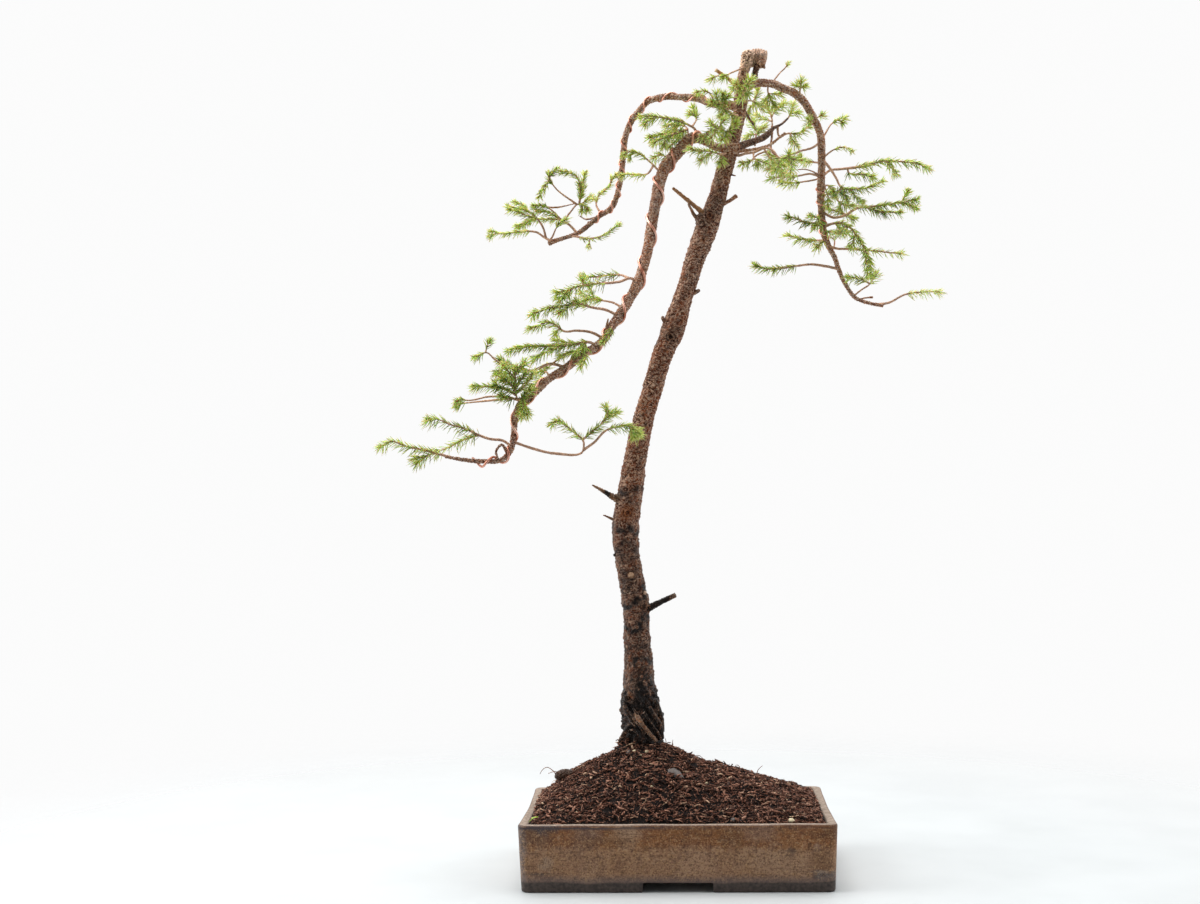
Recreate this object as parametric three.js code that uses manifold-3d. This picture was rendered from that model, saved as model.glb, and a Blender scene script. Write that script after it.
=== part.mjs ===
import * as THREE from 'three';
import { mergeVertices } from 'three/addons/utils/BufferGeometryUtils.js';
import Module from 'manifold-3d';

// A young spruce trained as a bonsai, 0.96 m tall, in a glazed rectangular pot.
// Millimetres, +Z up. The origin is on the ground under the middle of the pot.
// The tree's front faces -Y. Its lowest branch reaches towards -X and forward,
// the other long branch hangs down on the +X side and backward.

// Pot
const POT_LENGTH = 350;
const POT_DEPTH = 245;
const POT_HEIGHT = 75;
const POT_WALL = 10;
const POT_CORNER = 10; // radius of the upright corners outside
const POT_INNER_CORNER = 3;
const POT_SPLAY = 3.3; // how far each side leans out from foot to rim
const FLOOR_TOP = 18;
const FOOT_HEIGHT = 8.5;
const FOOT_WIDTH = 14;
const FRONT_NOTCH = 77;
const SIDE_NOTCH = 60;
const DRAIN_RADIUS = 11;
const DRAIN_OFFSET = 85; // from the middle of the pot to each drain hole

// Drain screens, laid over the holes
const SCREEN_SIZE = 44;
const SCREEN_THICKNESS = 1.2;
const SCREEN_HOLES = 3; // along each side
const SCREEN_BAR = 2;

// Soil
const SOIL_EDGE = 72; // height at the pot wall
const SOIL_FALL = 1.7; // how late the mound falls away towards the front and back walls
const SOIL_RINGS = 9;
const SOIL_SPOKES = 36;
const SOIL_OVERREACH = 1.12; // it is made this much too wide, then cut to the pot's inside
const SOIL_RELIEF = 1.6; // how far chips and hollows stand off the smooth mound
const TRUNK_HOLE_CLEARANCE = 0.5;

// Clearance between pieces that touch
const GAP = 0.3;

// Wood
const BARK_RELIEF = 0.035; // how far bark swells and hollows, as a share of the radius
const TRUNK_SIDES = 10;
const BRANCH_SIDES = 6;
const TWIG_SIDES = 4;
const TWIG_RADIUS = 3.5; // wood thinner than this has TWIG_SIDES
const COLLAR_LENGTH = 2; // of the bark round a shoot's root, measured from the branch's surface
const COLLAR_FLARE = 1.5; // its radius at the branch, as a multiple of the shoot's
const COLLAR_END = 1.1; // the same where the shoot comes out of it

// Copper wires: which branch, where along it (0 to 1), turns, first angle and wire radius
const WIRES = {
  copper_wire_lower_left: {
    branch: 'lower_left', from: 0.08, to: 0.955, turns: 12.1, start: 140, radius: 1.6,
  },
  copper_wire_upper_left: {
    branch: 'upper_left', from: 0.14, to: 0.84, turns: 10.4, start: 30, radius: 1,
  },
  copper_wire_right: {
    branch: 'right', from: 0.53, to: 0.71, turns: 3.7, start: 15, radius: 1,
  },
};
const WIRE_STEPS = 7; // straight lengths in one turn
const WIRE_CLEARANCE = 0.6;

// Shoots, three-sided
const SHOOT_RADIUS = 1.25; // at the tip
const SHOOT_TAPER = 1 / 300; // added radius for each millimetre back from the tip
const SHOOT_STEP = 30; // longest straight length
const SHOOT_LEAD = 2.5; // straight length out of the collar
const SHOOT_CLEAR = 4; // points of the route closer than this to the lead's end are skipped

// Needles
const NEEDLE_LENGTH = 12;
const NEEDLE_LENGTH_SPREAD = 0.15; // longer and shorter by this share
const NEEDLE_RADIUS = 0.5;
const NEEDLE_SPACING = 7.5; // along a shoot
const NEEDLE_LEAN = 52; // degrees from the shoot's direction
const NEEDLE_LEAN_SPREAD = 7;
const NEEDLE_TURN_SPREAD = 12; // degrees to either side of a face's middle
const FIRST_NEEDLE = 3; // distance of the first needle from a shoot's root
const JOINT_CLEAR = 2; // needles stand this far from the bends in a shoot
const BUD_NEEDLES = 3;
const BUD_LEAN = 24; // lean of the needles round the bud
const BUD_STEP = 0.7; // between their roots
const BUD_LENGTH = 4.5; // from the first of their roots to the end of the shoot

const BRANCHES = {
  trunk: [
    [-39, 0, 106, 19.5], [-39, 0, 129, 20], [-39, 0, 149, 22], [-40, 0, 174, 23], [-42, 0, 194, 22],
    [-43, -1, 216, 19.2], [-43, -2, 239, 16.8], [-45, -3, 276, 15.6], [-46, -4, 311, 16],
    [-51, -6, 345, 14.8], [-55, -7, 371, 14.8], [-56, -8, 404, 16.4], [-51, -9, 433, 14.8],
    [-44, -9, 479, 13.6], [-23, -6, 561, 12], [-9, -4, 605, 12.4], [3, -2, 631, 13.6],
    [10, -1, 655, 12.2], [18, 0, 678, 11.6], [27, 2, 707, 11.8], [42, 4, 747, 13], [53, 5, 775, 11.3],
    [63, 6, 808, 10.6], [69, 6, 830, 9.6], [76, 6, 855, 8.6], [85, 6, 891, 7.7], [88, 6, 912, 8.2],
    [92, 6, 931, 7.8], [94, 6, 946, 8.4], [95, 6, 956, 8.6], [96, 6, 962, 6.4],
  ],
  lower_left: [
    [81, 5, 843, 8.6], [67, 0, 845, 8.4], [52, -5, 847, 8.3], [37, -10, 853, 8.2], [25, -14, 854, 8.2],
    [15, -17, 844, 8.2], [5, -20, 833, 8.3], [-4, -23, 819, 8.2], [-10, -26, 804, 7.8],
    [-16, -30, 780, 7.6], [-22, -35, 747, 7], [-28, -40, 714, 6.6], [-37, -45, 683, 6.3],
    [-51, -50, 656, 6], [-66, -55, 632, 5.6], [-78, -60, 613, 5.3], [-99, -66, 599, 5],
    [-119, -71, 584, 4.8], [-140, -76, 570, 4.5], [-157, -80, 553, 4.2], [-173, -84, 540, 3.9],
    [-177, -87, 524, 3.6], [-179, -89, 506, 3.4], [-182, -91, 490, 3.2], [-191, -93, 480, 3],
    [-213, -96, 478, 2.8], [-236, -98, 480, 2.4], [-256, -100, 484, 2],
  ],
  upper_left: [
    [86, 6, 893, 5.2], [71, 9, 898, 4.9], [52, 12, 901, 4.7], [36, 16, 909, 4.6], [15, 20, 912, 4.5],
    [-9, 24, 913, 4.3], [-24, 28, 909, 4.2], [-36, 32, 899, 4.1], [-45, 36, 887, 4],
    [-51, 40, 872, 3.9], [-54, 44, 855, 3.8], [-57, 48, 830, 3.6], [-62, 52, 805, 3.5],
    [-71, 55, 788, 3.3], [-86, 58, 778, 3.1], [-99, 61, 768, 2.9], [-112, 63, 758, 2.7],
    [-126, 65, 753, 2.4], [-148, 68, 748, 2.6],
  ],
  right: [
    [93, 6, 922, 5.2], [106, 8, 927, 4.6], [122, 11, 923, 4.5], [138, 15, 919, 4.5],
    [151, 19, 913, 4.5], [161, 23, 904, 4.5], [169, 27, 892, 4.5], [176, 31, 880, 4.4],
    [182, 35, 864, 4.3], [183, 38, 845, 4.2], [183, 42, 824, 4.1], [182, 46, 801, 4],
    [183, 50, 775, 3.9], [185, 54, 753, 3.5], [191, 58, 736, 3.2], [199, 62, 721, 2.9],
    [204, 66, 707, 2.7], [212, 70, 690, 2.4], [225, 74, 673, 2.2], [242, 78, 667, 2],
    [259, 81, 664, 2.3],
  ],
  back_right: [
    [78, 6, 836, 4.6], [97, 22, 849, 3.9], [114, 36, 860, 3.3], [128, 48, 866, 2.6],
    [142, 58, 873, 2.2],
  ],
};
const STUBS = {
  old_top: [
    [92, 6, 953, 8], [102, 6, 952.5, 9.8], [110, 6, 951.5, 9.8], [116, 6, 950, 8.6], [119, 6, 949.5, 6.5],
  ],
  old_leader: [
    [105, 9, 922, 4.8], [107, 11, 937, 4.6], [107, 9, 951, 5],
  ],
  cut_stub: [
    [88, 5, 921, 4], [77, 0, 923, 3.2], [67, -3, 930, 2.9], [56, -6, 934, 2.7],
  ],
  dead_snag: [
    [44, 2, 765, 4.5], [33, -3, 774, 2.9], [18, -8, 786, 2.5], [4, -13, 797, 1.9],
  ],
  dead_sliver: [
    [38, 0, 758, 3.4], [30, -3, 765, 2.4], [26, -6, 772, 1.8], [22, -9, 779, 1.2],
  ],
  snag_collar: [
    [45, 3, 748, 9], [39, -1, 760, 8.4], [36, -1, 769, 5.5],
  ],
  blunt_stub: [
    [56, 5, 777, 3], [68, 1, 781, 2.4], [80, -4, 788, 2.9],
  ],
  spike: [
    [63, 6, 812, 2.2], [72, 4, 814, 1.5], [79, 2, 812, 0.6],
  ],
  right_nub: [
    [21, 0, 673, 4], [29, -3, 675, 2.8], [35, -6, 677, 1.7],
  ],
  left_nub: [
    [1, -2, 638, 4], [-8, -7, 642, 2.6], [-10, -9, 647, 1.8],
  ],
  left_snag: [
    [-52, -9, 429, 6], [-67, -14, 434, 3.8], [-80, -20, 442, 2], [-94, -25, 450, 1],
  ],
  small_snag: [
    [-55, -8, 405, 4], [-69, -12, 409, 2.2], [-82, -16, 415, 0.8],
  ],
  dark_nub: [
    [-56, -7, 366, 4], [-71, -11, 368, 1.6],
  ],
  pruned_knob: [
    [-51, -6, 343, 5.5], [-50, -25, 345, 3.9],
  ],
  tan_knob: [
    [-45, -4, 319, 4], [-33, -16, 324, 2.4],
  ],
  right_snag: [
    [-46, -4, 298, 7], [-30, -9, 305, 3.6], [-15, -12, 312, 3], [2, -16, 319, 2.9],
  ],
  shoulder: [
    [41, 4, 740, 10], [50, -1, 735, 6],
  ],
  bare_link: [
    [-72, -58, 620, 1.8], [-73, -60, 632, 1.5], [-71, -63, 640, 1.2],
  ],
  bare_twig: [
    [-89, 59, 775, 1.6], [-102, 63, 774, 1.2], [-110, 67, 779, 0.8],
  ],
  bud_twig: [
    [227, 75, 671, 1.5], [238, 70, 673, 1.1], [245, 67, 673, 1.9],
  ],
  dark_loop: [
    [-185, -92, 487, 2.2], [-192, -100, 496, 1.7], [-197, -102, 490, 1.5], [-196, -95, 479, 1.5],
  ],
  root_strip: [
    [-56, -16, 199, 3], [-46, -24, 184, 2.6], [-34, -25, 167, 2.4], [-23, -20, 155, 2.2],
  ],
  root_left: [
    [-51, -15, 173, 3.5], [-60, -17, 161, 3], [-66, -12, 150, 2.6],
  ],
  root_right: [
    [-26, -8, 179, 4], [-19, -10, 166, 3.4], [-18, -7, 152, 3],
  ],
};
const SPRAYS = {
  lower_left_tip: [
    [1, [-248, -99, 482], [-260, -100, 486], [-277, -105, 491], [-296, -109, 495], [-315, -112, 501],
      [-325, -113, 496]],
    [0, [-267, -102, 488], [-278, -107, 483], [-285, -109, 477]],
    [0, [-277, -107, 484], [-289, -101, 482]],
  ],
  lower_left_fork: [
    [3, [-181, -91, 493], [-191, -89, 501], [-205, -87, 503], [-217, -85, 507], [-233, -92, 515],
      [-250, -97, 520], [-265, -101, 526], [-273, -103, 525]],
    [0, [-219, -86, 508], [-239, -79, 502], [-256, -75, 494], [-269, -73, 490]],
  ],
  lower_left_inner: [
    [4, [-178, -89, 500], [-161, -86, 493], [-133, -80, 486], [-101, -74, 489], [-101, -72, 500],
      [-110, -74, 509], [-120, -77, 517], [-130, -80, 523], [-135, -82, 520]],
    [0, [-102, -72, 501], [-91, -70, 511], [-79, -72, 520], [-74, -73, 528]],
    [2, [-101, -74, 489], [-89, -69, 498], [-75, -63, 512], [-63, -58, 516], [-49, -52, 517],
      [-39, -49, 513]],
    [0, [-48, -52, 517], [-43, -54, 511]],
  ],
  lower_left_pair: [
    [3, [-168, -83, 544], [-183, -86, 550], [-205, -90, 551], [-231, -93, 547], [-237, -96, 548],
      [-241, -98, 546]],
    [2, [-180, -86, 549], [-206, -81, 547], [-231, -78, 545], [-240, -77, 544], [-244, -76, 542]],
  ],
  lower_left_star: [
    [5, [-120, -71, 583], [-135, -76, 588], [-160, -85, 580], [-178, -92, 586], [-195, -98, 590],
      [-208, -101, 600], [-213, -104, 598], [-218, -106, 595]],
    [0, [-208, -101, 600], [-206, -103, 607], [-204, -105, 611]],
    [0, [-183, -94, 588], [-191, -86, 582], [-198, -82, 579]],
  ],
  lower_left_cluster: [
    [1, [-170, -84, 541], [-175, -89, 551], [-175, -94, 562], [-175, -99, 573], [-175, -103, 581]],
    [0, [-176, -98, 571], [-184, -105, 580], [-187, -109, 584]],
    [0, [-175, -100, 575], [-168, -107, 583], [-164, -109, 587]],
    [0, [-175, -89, 552], [-186, -94, 558], [-199, -98, 561], [-213, -101, 562], [-220, -102, 562]],
    [0, [-193, -96, 560], [-198, -100, 565]],
    [0, [-175, -91, 556], [-165, -96, 562], [-158, -101, 571], [-155, -103, 575]],
    [0, [-174, -88, 549], [-184, -94, 548], [-191, -96, 551]],
    [0, [-175, -89, 551], [-167, -99, 544], [-162, -104, 533], [-160, -106, 529]],
  ],
  lower_left_ridge: [
    [1, [-137, -75, 572], [-142, -69, 579], [-149, -61, 581], [-155, -57, 579]],
    [0, [-144, -66, 580], [-143, -61, 585]],
  ],
  lower_left_long: [
    [1, [-83, -62, 607], [-94, -67, 613], [-107, -71, 611], [-123, -74, 609], [-142, -77, 608],
      [-160, -80, 608], [-176, -82, 606], [-183, -83, 603]],
    [0, [-115, -72, 610], [-130, -80, 606], [-145, -85, 599], [-154, -87, 594]],
    [0, [-97, -68, 612], [-107, -60, 618], [-114, -56, 619]],
    [0, [-96, -67, 612], [-101, -75, 605], [-105, -79, 602]],
  ],
  lower_left_over: [
    [1, [-67, -55, 630], [-67, -66, 630], [-72, -71, 620], [-77, -73, 613]],
  ],
  lower_left_under: [
    [1, [-94, -64, 603], [-94, -74, 599], [-99, -80, 590], [-102, -83, 585]],
  ],
  lower_left_knob: [
    [3, [-75, -59, 617], [-90, -64, 624], [-107, -69, 626], [-121, -74, 625], [-131, -78, 632],
      [-141, -82, 635], [-151, -86, 630], [-158, -88, 628]],
    [0, [-126, -76, 628], [-135, -68, 626], [-142, -65, 625]],
  ],
  lower_left_mid: [
    [2, [-59, -52, 644], [-73, -57, 650], [-90, -62, 653], [-105, -66, 657], [-123, -70, 654],
      [-140, -74, 651], [-152, -77, 647]],
    [0, [-111, -67, 656], [-122, -75, 648], [-126, -78, 646]],
    [0, [-100, -65, 656], [-107, -61, 660]],
  ],
  lower_left_back: [
    [2, [-54, -51, 652], [-66, -43, 660], [-77, -38, 663], [-89, -32, 666], [-102, -26, 664],
      [-110, -22, 663]],
    [0, [-87, -32, 666], [-93, -28, 676], [-95, -26, 682]],
  ],
  lower_left_high: [
    [3, [-37, -45, 682], [-46, -51, 687], [-57, -54, 683], [-73, -57, 681], [-89, -60, 680],
      [-105, -63, 677], [-120, -66, 672], [-129, -68, 670]],
    [0, [-111, -64, 675], [-117, -68, 668]],
    [0, [-99, -62, 678], [-100, -65, 684]],
    [1, [-48, -51, 687], [-57, -42, 692], [-73, -34, 693], [-90, -27, 692], [-99, -23, 693]],
  ],
  upper_left_tip: [
    [3, [-144, 67, 749], [-155, 70, 755], [-162, 71, 760], [-170, 73, 762], [-186, 76, 762],
      [-205, 79, 761], [-219, 81, 764]],
    [0, [-212, 80, 762], [-221, 83, 759]],
    [2, [-151, 69, 753], [-154, 63, 764], [-161, 58, 775], [-173, 54, 784], [-186, 50, 787],
      [-194, 48, 789]],
    [0, [-169, 55, 781], [-180, 59, 793], [-187, 61, 796]],
  ],
  upper_left_crown: [
    [2, [-113, 63, 759], [-120, 68, 766], [-133, 72, 775], [-149, 76, 777], [-168, 80, 777],
      [-182, 83, 773], [-188, 84, 771]],
    [1, [-132, 71, 774], [-146, 66, 788], [-156, 61, 792], [-164, 58, 791]],
    [2, [-130, 71, 773], [-122, 75, 784], [-112, 79, 795], [-105, 85, 794], [-101, 89, 790]],
    [0, [-109, 82, 795], [-100, 84, 802], [-96, 85, 805]],
    [0, [-107, 83, 794], [-108, 86, 789]],
    [1, [-113, 78, 794], [-141, 73, 817], [-147, 70, 827], [-146, 68, 831]],
    [0, [-146, 70, 825], [-154, 65, 812], [-158, 62, 803]],
    [0, [-111, 80, 796], [-109, 77, 813], [-113, 73, 828], [-123, 69, 833], [-131, 67, 834]],
  ],
  upper_left_inner: [
    [1, [-83, 57, 780], [-89, 64, 792], [-86, 68, 804], [-78, 71, 811], [-72, 74, 818], [-70, 76, 826]],
    [0, [-87, 66, 799], [-93, 70, 800]],
  ],
  upper_left_under: [
    [1, [-123, 64, 754], [-113, 58, 749], [-100, 53, 746], [-85, 48, 747], [-72, 44, 755],
      [-64, 42, 761]],
    [0, [-97, 52, 746], [-98, 48, 740]],
  ],
  middle_low: [
    [2, [-8, -25, 809], [-15, -31, 818], [-24, -35, 826], [-34, -38, 833], [-44, -41, 835],
      [-51, -43, 832]],
    [0, [-41, -40, 834], [-45, -38, 829]],
    [1, [-17, -32, 820], [-24, -27, 812], [-35, -19, 812], [-48, -13, 814], [-55, -10, 814]],
  ],
  middle_short: [
    [1, [2, -21, 827], [-3, -32, 830], [-11, -38, 831], [-16, -41, 828]],
  ],
  middle_high: [
    [2, [34, -11, 854], [31, -17, 865], [24, -20, 869], [12, -24, 873], [-5, -28, 876], [-21, -31, 878],
      [-30, -33, 877]],
    [0, [-13, -29, 877], [-23, -36, 871], [-27, -38, 868]],
    [1, [28, -18, 867], [33, -10, 877], [32, -4, 886], [30, -1, 892]],
    [0, [33, -4, 882], [27, -7, 885]],
  ],
  middle_dense: [
    [1, [23, -14, 852], [21, -9, 869], [8, -3, 873], [-2, 1, 873]],
    [0, [13, -5, 871], [2, 1, 866], [-4, 4, 863]],
    [0, [20, -11, 865], [9, -27, 858], [-5, -33, 852], [-16, -36, 846]],
    [0, [7, -28, 857], [-3, -30, 848], [-6, -32, 843]],
  ],
  front_high: [
    [1, [83, 2, 883], [73, -14, 884], [63, -27, 888], [56, -38, 889], [51, -44, 890]],
    [0, [62, -28, 888], [63, -38, 896], [64, -42, 899]],
    [0, [58, -34, 889], [52, -44, 880], [49, -48, 876]],
    [0, [71, -16, 885], [82, -26, 889], [84, -31, 892]],
    [0, [70, -17, 885], [76, -29, 875], [78, -34, 871]],
  ],
  front_low: [
    [1, [78, 4, 859], [69, -14, 860], [60, -28, 862], [53, -40, 863], [50, -47, 865]],
    [0, [59, -30, 862], [63, -42, 867], [65, -46, 869]],
    [0, [57, -34, 862], [52, -44, 852], [49, -48, 848]],
    [0, [68, -16, 860], [76, -30, 863], [78, -37, 866]],
    [0, [70, -12, 860], [79, -26, 852], [81, -32, 855]],
  ],
  upper_left_first: [
    [1, [55, 11, 901], [50, 8, 912], [43, 4, 914], [35, 0, 912]],
  ],
  middle_skirt: [
    [1, [73, 5, 841], [61, -12, 836], [47, -23, 837], [34, -30, 837], [26, -34, 838]],
    [0, [52, -20, 837], [42, -26, 829], [38, -29, 826]],
    [0, [59, -14, 836], [62, -25, 826], [60, -30, 822]],
  ],
  top_tuft: [
    [1, [89, 5, 912], [90, -9, 909], [92, -18, 912], [93, -23, 914]],
    [0, [90, -11, 909], [83, -20, 912], [80, -25, 915]],
    [0, [90, -12, 910], [94, -17, 906]],
  ],
  top_right_sprig: [
    [2, [125, 12, 922], [131, 14, 931], [137, 17, 940], [142, 19, 946], [144, 20, 951]],
  ],
  back_right_end: [
    [1, [133, 52, 869], [146, 60, 873], [156, 65, 873], [166, 70, 879], [171, 72, 884]],
    [0, [147, 61, 873], [150, 54, 862], [154, 51, 857]],
  ],
  back_right_rise: [
    [2, [119, 41, 862], [121, 50, 873], [122, 54, 886], [116, 57, 898], [110, 59, 903]],
    [0, [118, 56, 895], [126, 62, 906], [131, 64, 911]],
    [2, [121, 51, 878], [130, 58, 888], [139, 62, 898], [146, 65, 905], [150, 67, 909]],
    [0, [122, 53, 883], [111, 60, 891], [106, 63, 894]],
  ],
  back_right_near: [
    [1, [103, 27, 853], [105, 38, 866], [110, 46, 875], [115, 51, 879]],
    [0, [106, 40, 869], [98, 48, 870], [94, 52, 867]],
    [0, [108, 42, 871], [103, 50, 882], [102, 54, 887]],
  ],
  top_right_under: [
    [1, [119, 10, 923], [119, 20, 915], [123, 29, 907], [127, 34, 902]],
    [0, [120, 21, 913], [129, 28, 914], [134, 31, 916]],
    [0, [122, 26, 909], [117, 30, 908]],
  ],
  trunk_right: [
    [1, [86, 6, 899], [99, 17, 904], [106, 28, 902], [111, 34, 901]],
    [0, [101, 20, 904], [106, 27, 914], [107, 29, 919]],
    [0, [104, 24, 903], [97, 33, 897], [95, 37, 892]],
  ],
  front_right: [
    [5, [81, 4, 837], [91, -1, 838], [100, -6, 838], [114, -16, 841], [122, -23, 836], [128, -29, 827],
      [136, -35, 825], [147, -40, 822], [154, -42, 821]],
    [0, [130, -31, 827], [126, -37, 816], [122, -39, 811]],
    [0, [137, -36, 825], [139, -39, 829]],
    [0, [140, -37, 824], [142, -44, 813], [140, -47, 807]],
    [1, [100, -6, 838], [100, -17, 829], [109, -25, 823], [114, -29, 821]],
    [0, [100, -18, 828], [91, -26, 823], [86, -30, 821]],
    [0, [103, -20, 826], [103, -25, 820]],
    [1, [112, -14, 841], [117, -4, 834], [121, 3, 827], [118, 6, 821]],
    [0, [118, -2, 832], [129, 0, 826], [134, 1, 824]],
    [0, [119, 1, 829], [129, 8, 818], [134, 11, 816]],
  ],
  right_inward: [
    [2, [182, 43, 816], [169, 37, 819], [155, 32, 816], [142, 27, 814], [128, 22, 813], [121, 19, 811]],
    [0, [145, 28, 815], [139, 31, 820]],
    [2, [171, 38, 818], [162, 46, 813], [157, 52, 812], [144, 59, 813], [135, 63, 814]],
  ],
  right_cross: [
    [3, [182, 35, 862], [171, 31, 850], [158, 27, 845], [145, 22, 839], [136, 17, 835], [125, 12, 835],
      [120, 10, 838]],
    [0, [139, 19, 837], [134, 23, 833]],
  ],
  right_back: [
    [1, [183, 40, 832], [175, 48, 835], [164, 55, 838], [153, 61, 841], [146, 64, 841]],
    [0, [162, 56, 838], [159, 60, 845]],
  ],
  right_arch_star: [
    [1, [157, 21, 908], [157, 17, 916], [158, 13, 922], [158, 11, 925]],
    [0, [157, 16, 918], [161, 12, 918]],
    [0, [157, 16, 917], [154, 19, 921]],
  ],
  right_arch_tuft: [
    [1, [174, 29, 885], [179, 21, 884], [182, 17, 885]],
  ],
  right_high: [
    [2, [182, 36, 858], [190, 40, 871], [196, 43, 880], [204, 46, 885], [211, 48, 888]],
    [0, [205, 46, 885], [209, 44, 882]],
  ],
  right_mid_sprig: [
    [2, [184, 40, 835], [190, 33, 842], [197, 29, 846], [205, 26, 848], [213, 23, 846], [217, 21, 843]],
  ],
  right_long: [
    [3, [184, 43, 815], [194, 49, 825], [207, 53, 827], [222, 57, 829], [240, 62, 833], [258, 67, 838],
      [281, 72, 838], [302, 77, 836], [315, 80, 831]],
    [0, [227, 58, 830], [236, 52, 823], [243, 49, 820]],
    [0, [262, 68, 838], [271, 74, 830], [276, 76, 825]],
  ],
  right_drop: [
    [3, [184, 39, 837], [191, 32, 826], [199, 26, 811], [204, 22, 800], [218, 18, 797], [235, 13, 797],
      [245, 10, 801], [251, 8, 803]],
    [0, [206, 21, 799], [198, 13, 791], [194, 9, 793]],
    [0, [214, 19, 798], [222, 15, 786], [227, 13, 781]],
  ],
  right_fill: [
    [1, [182, 46, 803], [190, 37, 805], [194, 30, 797], [196, 26, 792]],
    [1, [190, 36, 804], [202, 42, 787], [212, 46, 782], [219, 48, 782]],
    [0, [207, 44, 784], [205, 48, 780]],
  ],
  right_fan: [
    [3, [183, 50, 776], [197, 55, 769], [212, 59, 772], [227, 63, 781], [243, 68, 783], [263, 73, 786],
      [284, 77, 788], [299, 80, 783]],
    [0, [281, 76, 788], [287, 80, 797], [290, 82, 803]],
    [0, [238, 66, 783], [254, 61, 776], [269, 57, 774], [276, 55, 774]],
    [0, [207, 58, 771], [217, 66, 772], [223, 70, 770]],
  ],
  right_hanging: [
    [1, [185, 53, 756], [195, 45, 760], [205, 40, 760], [216, 36, 753], [225, 32, 740], [231, 29, 727],
      [237, 26, 711], [238, 25, 695]],
    [0, [211, 38, 756], [204, 29, 747], [198, 25, 746]],
    [0, [221, 34, 747], [218, 27, 736], [216, 24, 730]],
    [0, [235, 27, 716], [244, 21, 705], [246, 19, 699]],
    [0, [198, 43, 760], [207, 52, 753], [213, 57, 751]],
  ],
  right_bare_bend: [
    [2, [192, 59, 734], [202, 54, 731], [215, 50, 730], [229, 46, 728], [246, 43, 726], [264, 40, 723],
      [275, 38, 722]],
  ],
  right_left_upper: [
    [1, [183, 52, 764], [173, 44, 761], [161, 37, 761], [150, 31, 765], [142, 28, 767]],
  ],
  right_left_lower: [
    [1, [188, 57, 741], [179, 64, 743], [167, 70, 744], [154, 75, 748], [146, 77, 751]],
  ],
  right_left_long: [
    [3, [204, 66, 707], [188, 61, 711], [170, 57, 713], [153, 53, 711], [134, 49, 708], [115, 45, 707],
      [103, 43, 711]],
  ],
  right_low: [
    [2, [223, 73, 676], [232, 68, 683], [240, 63, 688], [244, 58, 694], [247, 56, 699]],
    [0, [241, 62, 689], [226, 56, 695], [215, 53, 696]],
  ],
  right_tip: [
    [2, [252, 80, 665], [266, 84, 668], [286, 89, 678], [303, 93, 681], [319, 97, 682], [328, 99, 682]],
  ],
};

const wasm = await Module();
wasm.setup();

const material = (color, roughness, metalness = 0) =>
  new THREE.MeshStandardMaterial({ color, roughness, metalness });

const GLAZE = material(0x7a5a42, 0.45);
const SOIL = material(0x3a2a22, 0.95);
const BARK = material(0x5a4234, 0.9);
const NEEDLES = material(0x6f8a3a, 0.6);
const COPPER = material(0xb8795a, 0.35, 1);
const SCREEN = material(0x20211f, 0.7);

// The same sequence of numbers from 0 to 1 for the same seed
function seeded(seed) {
  let state = seed;
  return () => {
    state = (state * 1664525 + 1013904223) % 4294967296;
    return state / 4294967296;
  };
}

function toSolid(geometry) {
  geometry.deleteAttribute('normal');
  geometry.deleteAttribute('uv');
  const merged = mergeVertices(geometry, 1e-4);
  return new wasm.Manifold(new wasm.Mesh({
    numProp: 3,
    vertProperties: Float32Array.from(merged.attributes.position.array),
    triVerts: Uint32Array.from(merged.index.array),
  }));
}

function join(solids) {
  return solids.reduce((whole, solid) => whole.add(solid));
}

// A join can leave crumbs too small to hold anything: the largest body is the piece
function largestBody(solid) {
  const bodies = solid.decompose();
  return bodies.reduce((best, body) => (body.volume() > best.volume() ? body : best));
}

function piece(name, solid, look) {
  const { vertProperties, triVerts } = solid.getMesh();
  const geometry = new THREE.BufferGeometry();
  geometry.setAttribute('position', new THREE.BufferAttribute(vertProperties, 3));
  geometry.setIndex(new THREE.BufferAttribute(triVerts, 1));
  geometry.computeVertexNormals();
  const mesh = new THREE.Mesh(geometry, look);
  mesh.name = name;
  return mesh;
}

function box(width, depth, height, x, y, z) {
  return toSolid(new THREE.BoxGeometry(width, depth, height).translate(x, y, z));
}

// How far the pot's sides lie inside their rim line at height z
function splayAt(z) {
  return POT_SPLAY * (1 - z / POT_HEIGHT);
}

function roundedRectangle(length, depth, corner) {
  const x = length / 2 - corner;
  const y = depth / 2 - corner;
  const shape = new THREE.Shape();
  shape.absarc(x, y, corner, 0, Math.PI / 2);
  shape.absarc(-x, y, corner, Math.PI / 2, Math.PI);
  shape.absarc(-x, -y, corner, Math.PI, 1.5 * Math.PI);
  shape.absarc(x, -y, corner, 1.5 * Math.PI, 2 * Math.PI);
  return shape;
}

// A block with rounded upright corners, inset from the pot's outside and splayed like it
function potBlock(inset, bottom, top) {
  const corner = Math.max(POT_CORNER - inset, POT_INNER_CORNER);
  const outline = roundedRectangle(POT_LENGTH - 2 * inset, POT_DEPTH - 2 * inset, corner);
  const geometry = new THREE.ExtrudeGeometry(outline, {
    depth: top - bottom,
    bevelEnabled: false,
    curveSegments: 2,
  }).translate(0, 0, bottom);
  const position = geometry.attributes.position;
  for (let i = 0; i < position.count; i += 1) {
    const inward = splayAt(position.getZ(i));
    position.setX(i, position.getX(i) * (1 - inward / (POT_LENGTH / 2)));
    position.setY(i, position.getY(i) * (1 - inward / (POT_DEPTH / 2)));
  }
  return toSolid(geometry);
}

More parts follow.
